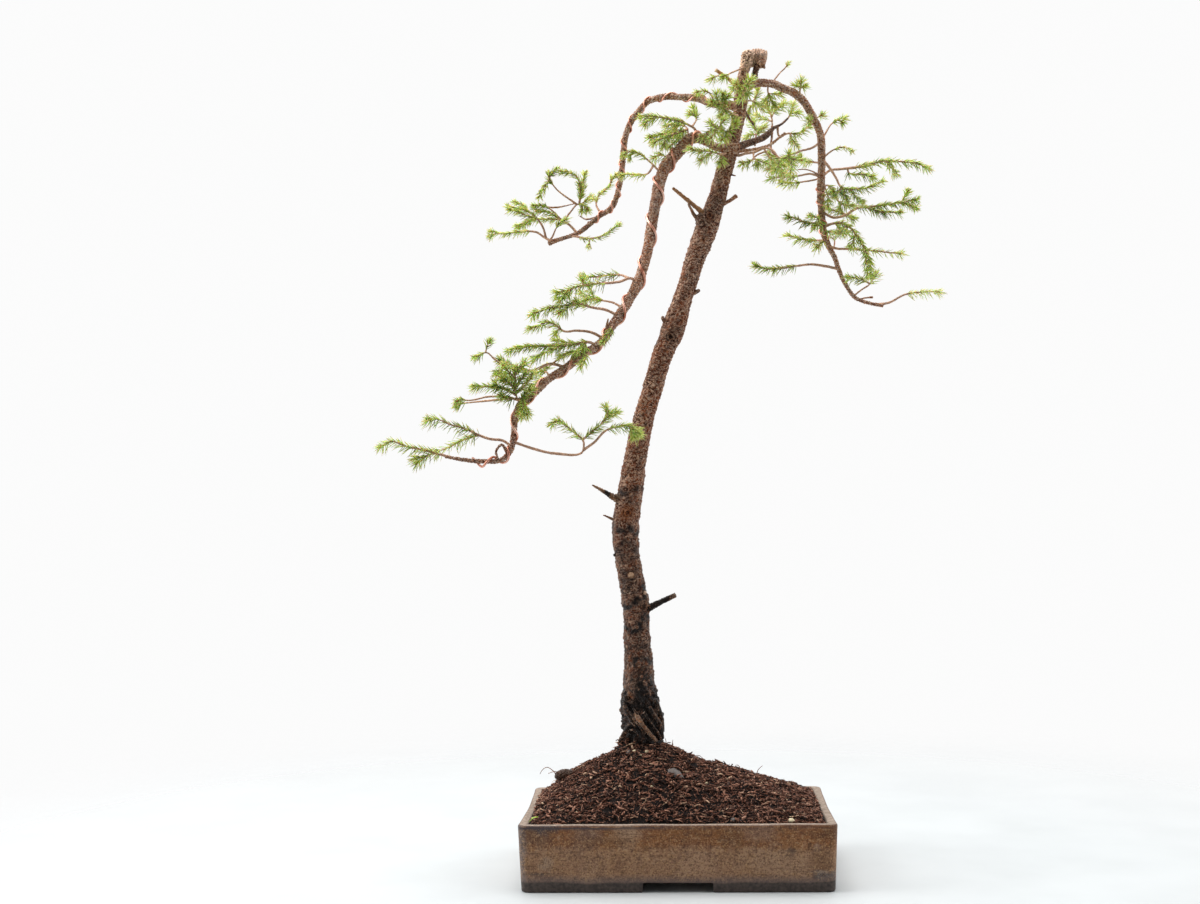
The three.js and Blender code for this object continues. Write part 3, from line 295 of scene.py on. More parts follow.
def chance(cell, seed):
    """A number from 0 to 1 for each whole-numbered cell (..., 3): its coordinates mixed by large primes."""
    mixed = (cell @ np.array([374761393, 668265263, 362437]) + seed * 974711) & 0xFFFFFFFF
    mixed = ((mixed ^ (mixed >> 13)) * 1274126177) & 0xFFFFFFFF
    return ((mixed ^ (mixed >> 16)) & 0xFFFF) / 0xFFFF


def cells(points, size, seed):
    """Each point belongs to the nearest of scattered centres, one in each cube of side size.

    Returns the nearest centre's own random value, and the difference of the distances to the nearest two
    centres, in cube sides: it is 0 on the border between two cells and grows towards a cell's middle.
    """
    scaled = points / size
    corner = np.floor(scaled).astype(np.int64)
    nearest = np.full(scaled.shape[:-1], 9.0)
    second = nearest.copy()
    value = np.zeros_like(nearest)
    for offset in np.ndindex(3, 3, 3):
        cell = corner + np.array(offset) - 1
        jitter = np.stack([chance(cell, seed + k) for k in range(3)], axis=-1)
        distance = np.linalg.norm(scaled - cell - jitter, axis=-1)
        closer = distance < nearest
        second = np.where(closer, nearest, np.minimum(second, distance))
        value = np.where(closer, chance(cell, seed + 3), value)
        nearest = np.minimum(nearest, distance)
    return value, second - nearest


print("cells at the origin:", cells(np.zeros((1, 3)), 4.0, 1))

# %% [markdown]
# ## The tree's routes
# The tree is drawn as stations along each limb: where its middle is, in mm, and how thick it is
# there as a radius. The trunk leans away to the right as it rises. Two long branches were bent down on the
# left with wire and one on the right, and a short one grows back. A tree gets its character from what was
# cut off it too, so every stub, snag and knob has its own stations. There are hundreds of them, so they are
# written as a table of words, x,y,z,radius for each station, which one small function reads.

# %% Stations of trunk, branches and stubs
def read_routes(table):
    """Named routes from a table of words, where numbers joined by commas are a point in mm.

    A word with a colon is a name, and its points follow it. Where a name has several routes, each starts
    with a whole number and a bar, and the number comes first in its list.
    """
    routes = {}
    for word in table.split():
        if word.endswith(":"):
            named = route = routes[word[:-1]] = []
        elif word.endswith("|"):
            route = [int(word[:-1])]
            named.append(route)
        else:
            route.append(tuple(float(number) for number in word.split(",")))
    return routes


BRANCHES = read_routes("""
trunk: -39,0,106,19.5 -39,0,129,20 -39,0,149,22 -40,0,174,23 -42,0,194,22 -43,-1,216,19.2 -43,-2,239,16.8
  -45,-3,276,15.6 -46,-4,311,16 -51,-6,345,14.8 -55,-7,371,14.8 -56,-8,404,16.4 -51,-9,433,14.8
  -44,-9,479,13.6 -23,-6,561,12 -9,-4,605,12.4 3,-2,631,13.6 10,-1,655,12.2 18,0,678,11.6 27,2,707,11.8
  42,4,747,13 53,5,775,11.3 63,6,808,10.6 69,6,830,9.6 76,6,855,8.6 85,6,891,7.7 87,6,911,7.8 88,6,926,6.5
  91,6,939,6.4 94,6,948,7.6 96,6,955,8.2 96,6,962.3,7.2
lower_left: 81,5,845,7 69,0,845,5.6 57,-5,845,4.8 48,-9,849,5 39,-12,854,6 29,-14,855,6.6 21,-16,850,6.9
  15,-17,842,7.2 5,-20,831,7.4 -4,-23,819,7.4 -10,-26,804,7.1 -15,-30,780,6.7 -21,-35,747,6.3
  -27,-40,714,6.1 -37,-45,683,6.3 -51,-50,656,6 -67,-55,632,5.3 -79,-60,613.5,4.9 -99,-66,599.5,4.7
  -119,-71,584,4.8 -140,-76,570,4.5 -157,-80,553,4.2 -173,-84,540,3.9 -177,-87,524,3.6 -179,-89,506,3.4
  -182,-91,490,3.2 -191,-93,480,3 -213,-96,478,2.8 -236,-98,480,2.4 -256,-100,484,2
upper_left: 86,6,893,5.2 71,9,898,4.9 52,12,900.5,4.6 36,16,908,4.4 15,20,911,4.2 -9,24,912,4 -24,28,908,3.9
  -35,32,898,3.8 -44,36,887,3.8 -51,40,872,3.9 -54,44,855,3.8 -57,48,830,3.6 -62,52,805,3.5 -70,55,786.5,3.4
  -85,58,776.5,3.3 -98,61,766.5,3.1 -112,63,757,2.9 -126,65,752.5,2.6 -141,67,748.5,3 -149,68,745.5,3.4
right: 90,6,919,5 100,7,922,5.2 109,8,923,4.9 118,10,923,4.8 127,13,922,5.2 136,16,918,5 145,18,915,4.9
  161,23,904,4.9 169,27,892,4.7 176,31,880,4.5 182,35,864,4.7 183,38,845,4.8 183,42,824,4.7 182,46,801,5
  183,50,775,4.6 185,54,753,4.3 191,58,736,3.8 199,62,721,3.3 204,66,707,2.9 212,70,690,2.7 225,74,673,2.5
  242,78,667,2.2 259,81,664,2.4
back_right: 79,8,846,4.8 93,18,853,4.4 104,26,858,4.2 113,34,863,4 121,40,870,3.3 126,44,876,2.4
  136,50,882,1.6 145,56,891,1.3
""")
STUBS = read_routes("""
old_top: 99,14,955,8 104,14,954,9.6 109,13,953.5,10 113,12,952.8,9.8 116,12,952,9.2 118,12,951.5,8.6
old_top_tip: 111,3,947,5 113,2,942,3 115,2,938,1
old_leader: 103,8,922,3.6 104,9,936,3.7 107,9,947,5
cut_stub: 82,5,918,3 76,2,923.5,2.3 67,-2,930,2.2 56,-7,936.5,2.4
dead_snag: 44,2,765,4.5 33,-3,774,2.9 18,-8,786,2.5 4,-13,797,1.9
dead_sliver: 38,0,758,3.4 30,-3,765,2.4 26,-6,772,1.8 22,-9,779,1.2
snag_collar: 45,3,748,9 39,-1,760,8.4 36,-1,769,5.5
blunt_stub: 56,5,777,3 68,1,781,2.4 80,-4,788,2.9
spike: 63,6,812,2.2 72,4,814,1.5 79,2,812,0.6
right_nub: 21,0,673,4 29,-3,675,2.8 35,-6,677,1.7
left_nub: 1,-2,638,4 -8,-7,642,2.6 -10,-9,647,1.8
left_snag: -52,-9,429,7 -67,-14,434,4.5 -80,-20,442,2.5 -94,-25,450,1
small_snag: -55,-8,405,4 -69,-12,409,2.2 -82,-16,415,0.8
dark_nub: -56,-7,366,4 -71,-11,368,1.6
pruned_knob: -51,-6,343,5.5 -50,-25,345,2.8
tan_knob: -45,-4,319,4 -33,-16,324,2.4
right_snag: -46,-4,298,7 -31,-9,305,4.8 -15,-12,313,3.5 2,-16,321,2.8
shoulder: 41,4,740,10 50,-1,735,6
bare_link: -72,-58,620,1.8 -73,-60,632,1.5 -71,-63,640,1.2
bare_twig: -89,59,775,1.6 -102,63,774,1.2 -110,67,779,0.8
bud_twig: 227,75,671,1.5 238,70,673,1.1 245,67,673,1.9
dark_loop: -185,-92,487,2.2 -192,-100,496,1.7 -197,-102,490,1.5 -196,-95,479,1.5
pale_branch: 77,8,842,2.6 93,12,844,2.1 107,16,847,1.9 121,20,852,1.8 131,24,860,1.7 140,28,867,2
hanging_twig: 125,46,879,1.6 124,38,865,1.5 122,24,847,1.5 126,12,838,1.4 133,2,830,1.2
tan_twig: 119,22,845,1.2 105,10,838,1.1 97,0,829,1 91,-6,821,0.8
dark_peg: 90,8,891,2 95,12,884,1.7 102,16,874,1.2
front_twig: 71,-2,846,1.1 65,-14,853,1 59,-20,860,0.9
pink_twig: 184,44,816,1.2 172,38,822,1 163,34,824,0.9 153,30,823,0.8
red_twig: -115,83,797,1 -127,82,794,0.9 -141,81,792,1.3 -152,80,793,0.8 -160,79,795,0.7
orange_twig: -112,-68,601,1.3 -121,-70,597,1.3 -130,-72,592,1.2 -137,-74,587,1.1
root_strip: -47,-20,184,2.8 -41,-26,175,2.9 -32,-26,163,2.4 -22,-21,151,2.1
root_left: -51,-15,173,3.5 -60,-17,161,3 -66,-12,150,2.6
root_right: -26,-8,179,4 -19,-10,166,3.4 -18,-7,152,3
""")
print(f"{len(BRANCHES)} limbs and {len(STUBS)} stubs")

# %% [markdown]
# ## Bark
# Spruce bark is thin scaly cork. On the trunk it is dark reddish brown, split into plates of 2 to 3 mm whose
# edges lift and catch the light, with grey-white flakes where one has just come off. On branches it is
# younger: pinkish tan and finer. Near the soil it is wet, almost black and a little shiny. The mesh carries
# the plates as real relief, so that the outline is rough too. It also tells the material, point by point,
# which plate it is on, how deep in a crack, how young the bark is, where the cork has worn off, where wood
# lies bare or was cut, and where it is wet.

# %% Material: spruce cork bark, scaly
bark, tree, where = new_material(
    "spruce_cork_bark_scaly", IOR=1.45, Specular_IOR_Level=0.2, Sheen_Weight=0.22, Sheen_Roughness=0.3)
told = {name: add(tree, "ShaderNodeAttribute", output="Fac", attribute_name=name)
        for name in ("plate", "crack", "young", "worn", "bare", "cut", "wet")}
grain, mottle, patch = [
    add(tree, "ShaderNodeTexNoise", {"Vector": where, "Scale": 1 / (size * MM), "Detail": 3.0})
    for size in (1.8, 8, 26)]
# the upturned rims of the scales, dry and pale: curly lines, where a twisted noise of 9 mm is near 0.5
level = add(tree, "ShaderNodeMapping", {"Vector": where, "Scale": (1.0, 1.0, 1.6)})
swirl = add(tree, "ShaderNodeTexNoise", {
    "Vector": level, "Scale": 1 / (9 * MM), "Detail": 2.0, "Distortion": 2.2,
})
rim = add(tree, "ShaderNodeMath", {0: swirl, 1: 0.5}, operation="SUBTRACT")
rim = add(tree, "ShaderNodeMath", {0: rim}, operation="ABSOLUTE")
rim = add(tree, "ShaderNodeMapRange", {"Value": rim, "From Min": 0.05, "From Max": 0.015})
old = add(tree, "ShaderNodeValToRGB", {"Fac": told["plate"]}, stops=[
    (0.0, "371709"), (0.35, "63331c"), (0.6, "814b31"), (0.82, "a16c4c"), (1.0, "cca487"),
])
old = laid_over(
    tree, old,
    (patch, 0.5, 0.66, 0.5, "9a5430"),  # reddish patches, where the outermost cork has gone
    (patch, 0.47, 0.36, 0.4, "2a130b"),  # damp ones
    (mottle, 0.48, 0.36, 0.45, "200e07"),
    # painted shade: darker towards the bottoms of the cracks between the plates, in the grooves and in the
    # scar pits
    (told["crack"], 0.18, 0.0, 0.75, "150a06"),
    (grain, 0.43, 0.35, 0.35, "1c0d07"),  # pits
    (rim, 0.0, 1.0, 0.85, "dcb498"),
    (grain, 0.62, 0.7, 0.55, "efd9c6"),  # flakes that have lifted off and dried white
)
young = add(tree, "ShaderNodeValToRGB", {"Fac": told["plate"]}, stops=[
    (0.0, "6c3722"), (0.3, "ab6c4d"), (0.6, "cf9a74"), (0.85, "e8c4a4"), (1.0, "f8ecdf"),
])
young = laid_over(
    tree, young,
    (mottle, 0.47, 0.33, 0.5, "4a2314"),
    # painted shade: darker towards the bottoms of the cracks in the young bark
    (told["crack"], 0.15, 0.0, 0.75, "3a1a0f"),
    (grain, 0.43, 0.34, 0.5, "3c1c10"),
    (rim, 0.0, 1.0, 0.6, "f4dfcd"),
    (grain, 0.58, 0.66, 0.7, "f6ece2"),
)
# on cut wood the same curly lines are cracks, darker than the rest
cut_wood = add(tree, "ShaderNodeValToRGB", {"Fac": rim}, stops=[(0.0, "fbd8ba"), (1.0, "94644c")])
colour = laid_over(
    tree, add(tree, "ShaderNodeMix", {0: told["young"], 6: old, 7: young}, output=2, data_type="RGBA"),
    (told["worn"], 0.2, 1.2, 0.75, "b0622d"),
    (told["bare"], 0.0, 1.0, 1.0, "c08a58"),
    (told["cut"], 0.0, 1.0, 1.0, cut_wood),
    # painted shade: darker still in the bottoms of folds, where crack is below 0
    (told["crack"], 0.0, -0.22, 0.75, "4a2516"),  # the bottoms of folds
    (told["wet"], 0.0, 1.0, 0.97, "090605"),
)
height = add(tree, "ShaderNodeMath", {0: rim, 1: grain}, operation="ADD")
finish_surface(
    tree, bump=(height, 0.6, 0.9), Base_Color=colour,
    Roughness=add(tree, "ShaderNodeMapRange", {"Value": told["wet"], "To Min": 0.85, "To Max": 0.3}))
print("bark:", len(tree.nodes), "nodes")

# %% [markdown]
# ## Trunk, branches and stubs
# Each limb is one sweep. Its radius follows the stations, swells and hollows a little by drift, and carries
# the bark plates on top. The plates are looked up in unrolled coordinates, round the girth and along the
# run, so that they follow a bent branch and meet without a seam at the back. Where a branch bends or was
# cut, its bark is pushed together into wrinkles. A branch starts well inside the wood it grows from, with a
# flare at its foot.

# %% Limb surfaces
def smooth_rise(value, low, high):
    """0 below low, 1 above high, and the smooth cubic 3t^2 - 2t^3 between."""
    t = np.clip((value - low) / (high - low), 0, 1)
    return t * t * (3 - 2 * t)


SCARS = [  # where a side branch once grew: x, y, z and half width in mm
    (0, -16, 622, 4.5), (-35, -15.5, 308, 4), (-53, -24, 417, 5), (47, -7, 765, 4), (91, -1, 952, 4),
    (-64, -14, 436, 3.5), (-56, -17, 201, 4),
]
FOLD_SPACING, FOLD_HEIGHT, PIT_DEPTH = 3.4, 1.8, 2.2  # at a scar, in mm
GROOVE_DEPTH, LUMP_SIZE, LUMP_HEIGHT = 4.2, 7, 1.8  # at the foot of the trunk, in mm


def limb(stations, step, columns, plate_size, plate_height, seed, flare=0.0, wrinkle=0.0, round_end=0.5,
         grooved_below=None):
    """One limb: vertices, faces and the bark values of each vertex.

    radius = station radius * (1 + drift + flare * e^(-run / 2 radii)) + plate height * (how far inside its
    plate a point is - 0.6) + wrinkle * sin(run turned every 1.5 plates, bent by drift). Round each scar
    there are rings of folds, fold height * cos(distance turned every fold spacing), and a pit in its
    middle. Below the height grooved_below, long cells that wind round the limb cut grooves into it, among
    lumps. The last round_end radii close like a ball.
    """
    path, run = smooth_path(stations, step)
    centres, radius, run = path[:, :3], path[:, 3:], run[:, None]
    angle = np.linspace(0, TURN, columns, endpoint=False)
    around = np.stack(np.broadcast_arrays(
        radius * np.cos(angle), radius * np.sin(angle), run * 0.75), axis=-1)
    value, border = cells(around, plate_size, seed)
    fine_value, fine_border = cells(around, plate_size * 0.5, seed + 50)
    raised = smooth_rise(border, 0.0, 0.25) * (0.3 + 0.7 * value)
    raised = 0.65 * raised + 0.35 * smooth_rise(fine_border, 0.0, 0.3) * fine_value
    swell = 0.04 * drift(around, 30, seed) + 0.03 * drift(around, 9, seed + 1)
    foot = flare * np.exp(-run / (2 * radius))
    folds = wrinkle * np.sin(TURN * run / (1.5 * plate_size) + 1.6 * drift(around, 9, seed + 2))
    plain = sweep(centres, radius, columns)
    pit = 0
    for *spot, half_width in SCARS:
        away = np.linalg.norm(plain - spot, axis=-1)
        near = np.exp(-(away / (1.9 * half_width)) ** 2)
        rings = np.cos(TURN * away / FOLD_SPACING + 0.8 * drift(around, 7, seed + 4))
        folds = folds + FOLD_HEIGHT * near * rings
        pit = pit + np.exp(-(away / (0.45 * half_width)) ** 2)
    size = radius * (1 + swell + foot) + plate_height * (raised - 0.6) + folds - PIT_DEPTH * pit
    # crack is low in the cracks, the grooves at the foot, the bottoms of folds and the scar pits, and the
    # bark material paints shade there
    crack = border * (1 - np.clip(pit, 0, 1)) - 0.35 * np.clip(-folds, 0, None)
    if grooved_below:
        winding = angle + run / 75
        strand = np.stack([
            radius * np.cos(winding), radius * np.sin(winding), run * 0.16 + 0 * angle], axis=-1)
        strand_value, strand_border = cells(strand, 8.5, seed + 9)
        low = smooth_rise(-centres[:, 2:], -grooved_below, -grooved_below + 22)
        groove = smooth_rise(strand_border, 0.0, 0.45) * (0.5 + 0.5 * strand_value) - 0.5
        lumps = drift(around, LUMP_SIZE, seed + 10)
        size = size + low * (GROOVE_DEPTH * groove + LUMP_HEIGHT * lumps)
        crack = np.minimum(crack, strand_border + 1 - low)
    left = (run[-1] - run) / (round_end * radius[-1])
    size = size * np.sqrt(np.clip(1 - (1 - np.clip(left, 0, 1)) ** 2, 0.02, 1))
    vertices, faces = closed_tube(sweep(centres, size, columns))
    # the crests of the scar folds get a higher plate value, which the bark colours lighter: a painted
    # highlight
    plate = np.clip(0.55 * value + 0.45 * fine_value + 0.7 * np.clip(folds - wrinkle, 0, None), 0, 1)
    marks = {"plate": plate, "crack": crack, "along": run / run[-1]}
    marks = {key: np.broadcast_to(numbers, size.shape) for key, numbers in marks.items()}
    marks = {key: np.concatenate([numbers.ravel(), numbers[[0, -1], 0]]) for key, numbers in marks.items()}
    return vertices, faces, marks


print(len(SCARS), "scars")

# %% [markdown]
# The shape alone doesn't say where bark is wet or worn. The mesh therefore carries numbers that the material
# reads, one for each vertex. Level rings round the trunk are damp, and in a few places the cork is worn off.

# %% Worn places, damp rings and the bark's numbers
WORN = [(-54, -24, 417, 11), (47, -8, 764, 6), (-53, -18, 203, 5)]  # x, y, z and half width in mm
DAMP = [  # damp rings round the trunk: height and half height in mm, and how damp
    (437, 6, 0.85), (394, 10, 0.75), (372, 9, 0.45), (345, 9, 0.35), (317, 7, 0.85), (287, 5, 0.8),
    (258, 5, 0.4), (238, 5, 0.6), (772, 16, 0.4), (622, 10, 0.35),
]


def bark_marks(vertices, marks, young, bare=0.0, cut=0.0, worn=0.0, pale=0.0, damp=0.0):
    """The values the bark material reads, one for each vertex.

    wet = (damp + a rise towards the soil in two steps) * a share that wanders with drift, is full in the
    cracks and weaker on the raised ridges between them, which paints shade into the cracks, plus a level
    ring at each height of DAMP, most * e^(-((z - height) / half height)^2), broken up by drift. worn is a
    level all over, plus e^(-(distance / half width)^2) round each worn place. cut whitens the limb's tip, and
    pale all of it.
    """
    z = vertices[:, 2] + 9 * drift(vertices, 34, 3)
    # painted shade: the wet darkening is full in the cracks and weaker on the raised ridges
    ridge = smooth_rise(marks["crack"], 0.08, 0.5) * (0.35 + 0.65 * marks["plate"])
    damp_and_crack_shade = np.clip(1.15 + 0.25 * drift(vertices, 13, 5) - ridge, 0, 1)
    spots = sum(np.exp(-(np.linalg.norm(vertices - spot, axis=1) / half_width) ** 2)
                for *spot, half_width in WORN)
    wet = damp + 0.5 * smooth_rise(-z, -500, -270) + 0.5 * smooth_rise(-z, -236, -217)
    rings = sum(most * np.exp(-((z - middle) / half_height) ** 2) for middle, half_height, most in DAMP)
    wet = wet * damp_and_crack_shade + rings * np.clip(0.75 + 0.6 * drift(vertices, 10, 6), 0, 1)
    tip = cut * smooth_rise(marks["along"], 0.88, 0.95)
    return {
        "plate": marks["plate"],
        "crack": marks["crack"],
        "young": young(vertices) if callable(young) else np.full(len(vertices), young),
        "worn": np.clip(worn + spots, 0, 1),
        "bare": np.full(len(vertices), bare),
        "cut": np.clip(pale + tip, 0, 1),
        "wet": np.clip(wet, 0, 1) * (1 - 0.8 * np.clip(worn + spots + tip, 0, 1)),
    }


def trunk_youth(vertices):
    """How young the trunk's bark is: old nearly all the way up, and young at the tan top."""
    return 0.2 * smooth_rise(vertices[:, 2], 560, 850) + 0.7 * smooth_rise(vertices[:, 2], 918, 938)


print(len(WORN), "worn places and", len(DAMP), "damp rings")

# %% [markdown]
# The trunk has the coarsest plates and the most vertices, because it is what the eye rests on. The branches
# have finer ones.

# %% Trunk and branches
vertices, faces, marks = limb(
    BRANCHES["trunk"], step=1.3, columns=76, plate_size=3.2, plate_height=1.6, seed=1, wrinkle=0.3,
    grooved_below=222)
dry_top = 0.9 * smooth_rise(vertices[:, 2], 934, 948)
make_piece("trunk", vertices, faces, bark, "bark", ["trunk_and_branches"],
           **bark_marks(vertices, marks, trunk_youth, pale=dry_top))

LIMB_LOOKS = {  # columns round the limb, plate size, plate height, youth, wrinkle height, how damp
    "lower_left": (40, 2.4, 1.0, 0.58, 0.25, 0.0),
    "upper_left": (30, 2.0, 0.8, 0.7, 0.25, 0.05),
    "right": (32, 2.0, 0.9, 0.85, 0.3, 0.0),
    "back_right": (24, 2.2, 0.7, 0.1, 0.1, 0.6),
}
for name, (columns, plate_size, plate_height, youth, wrinkle, damp) in LIMB_LOOKS.items():
    vertices, faces, marks = limb(
        BRANCHES[name], 1.0, columns, plate_size, plate_height, len(name), flare=0.25, wrinkle=wrinkle)
    make_piece(f"branch_{name}", vertices, faces, bark, "bark",
               **bark_marks(vertices, marks, youth, damp=damp))

# %% [markdown]
# The stubs are the same kind of surface. What differs is how young or bare they are, how wrinkled, and
# whether their end shows a pale cut. The base of the trunk has strands too: roots and folds of bark that
# wind down round it to the right, and lie half sunk in it.

# %% Stubs, snags and roots
STUB_LOOKS = {  # youth, bare wood, pale cut at the end, worn, wrinkle height, how far the end is rounded
    "old_top": (0.85, 0, 0, 0, 0.75, 0.25), "old_top_tip": (0.5, 0, 0, 0.3, 0.3, 0.5),
    "old_leader": (0.0, 0, 0, 0, 0.3, 0.3), "pale_branch": (0.9, 0.25, 0, 0, 0.2, 0.5),
    "hanging_twig": (0.6, 0, 0, 0.5, 0, 0.5), "tan_twig": (1, 0.5, 0, 0.2, 0, 0.5),
    "front_twig": (1, 0.6, 0, 0, 0, 0.5), "pink_twig": (1, 0.1, 0, 0.2, 0, 0.5),
    "red_twig": (0.9, 0, 0, 0.3, 0, 0.5), "orange_twig": (0.8, 0, 0, 1, 0, 0.5),
    "cut_stub": (1, 0.95, 1.0, 0.3, 0, 0.3), "snag_collar": (0.2, 0, 0, 0, 0.6, 1.0),
    "dead_snag": (0.9, 0.75, 0, 0.2, 0, 0.5), "dead_sliver": (0.5, 0.3, 0, 0, 0, 0.5),
    "blunt_stub": (0.5, 0.1, 0, 0.4, 0, 0.4), "left_snag": (0.5, 0.3, 0, 0, 0.2, 0.5),
    "small_snag": (0.4, 0.1, 0, 0.3, 0, 0.5), "pruned_knob": (0.2, 1, 0.5, 0, 0.3, 0.5),
    "tan_knob": (0.5, 0, 0.8, 0.3, 0, 0.5), "right_snag": (0.0, 0.2, 0.3, 0, 0.2, 0.3),
    "shoulder": (0.2, 0, 0, 0, 0.6, 1.0), "bare_link": (0.9, 0, 0, 0.3, 0, 0.5),
    "bare_twig": (0.9, 0, 0, 0.3, 0, 0.5), "bud_twig": (0.9, 0, 0, 0.4, 0, 0.5),
    "root_strip": (0.7, 0.25, 0, 0.35, 0, 0.5),
}
USUAL_STUB = (0.15, 0, 0, 0, 0.2, 0.5)  # for the ones not named above
DAMP_STUBS = {"right_snag": 0.8, "left_snag": 0.3, "dark_nub": 0.8, "old_leader": 0.5, "dark_peg": 0.5}
PALE_STUBS = {"old_top": 0.38}  # how pale all of it is
STRANDS = read_routes("""
left_fold: -57,-12,204,3 -59,-15,194,3.4 -54,-20,180,2.6 -46,-22,168,2.2
left_root: -57,-16,188,1.8 -50,-22,180,2 -43,-24,171,1.8 -36,-24,160,1.6
short_root: -50,-20,190,1.6 -44,-23,182,1.7 -38,-23,173,1.4
middle_root: -37,-22,186,1.6 -30,-20,174,1.9 -23,-15,163,1.8 -17,-11,152,1.5
right_root: -31,-21,192,2 -24,-17,180,2.4 -18,-11,168,2.6 -16,-8,152,2.2
right_fold: -24,-18,200,2.6 -20,-13,188,3 -17,-8,174,3.2 -16,-6,160,2.8
twig: -53,-21,165,1.1 -50,-25,165.5,1.2 -46,-26,163,1.1 -43,-25,158,0.8
""")

parts, numbers = [], []
for seed, (name, stations) in enumerate(STUBS.items()):
    youth, bare, cut, worn, wrinkle, round_end = STUB_LOOKS.get(name, USUAL_STUB)
    columns = 40 if stations[0][3] > 6 else 16
    plate_size = 1.8 if name == "old_top" else 2.2
    vertices, faces, marks = limb(
        stations, 0.8, columns, plate_size, 0.8, 100 + seed, flare=0.2, wrinkle=wrinkle, round_end=round_end)
    parts.append((vertices, faces))
    numbers.append(bark_marks(vertices, marks, youth, bare, cut, worn, pale=PALE_STUBS.get(name, 0),
                              damp=DAMP_STUBS.get(name, 0)))
for seed, stations in enumerate(STRANDS.values()):
    vertices, faces, marks = limb(stations, 1.0, 14, 2.4, 0.7, 150 + seed)
    parts.append((vertices, faces))
    numbers.append(bark_marks(vertices, marks, 0.4, bare=0.1))
vertices, faces = gather(parts)
make_piece("stubs_and_roots", vertices, faces, bark, "bark",
           **{key: np.concatenate([each[key] for each in numbers]) for key in numbers[0]})

# %% [markdown]
# ## Shoots
# Each spray is a few shoots that fork off one another. A route is x,y,z in mm for each of its points. The
# number before the bar says from which point on the shoot still has its needles: older wood behind it is
# bare. 0 stands for needles all the way.

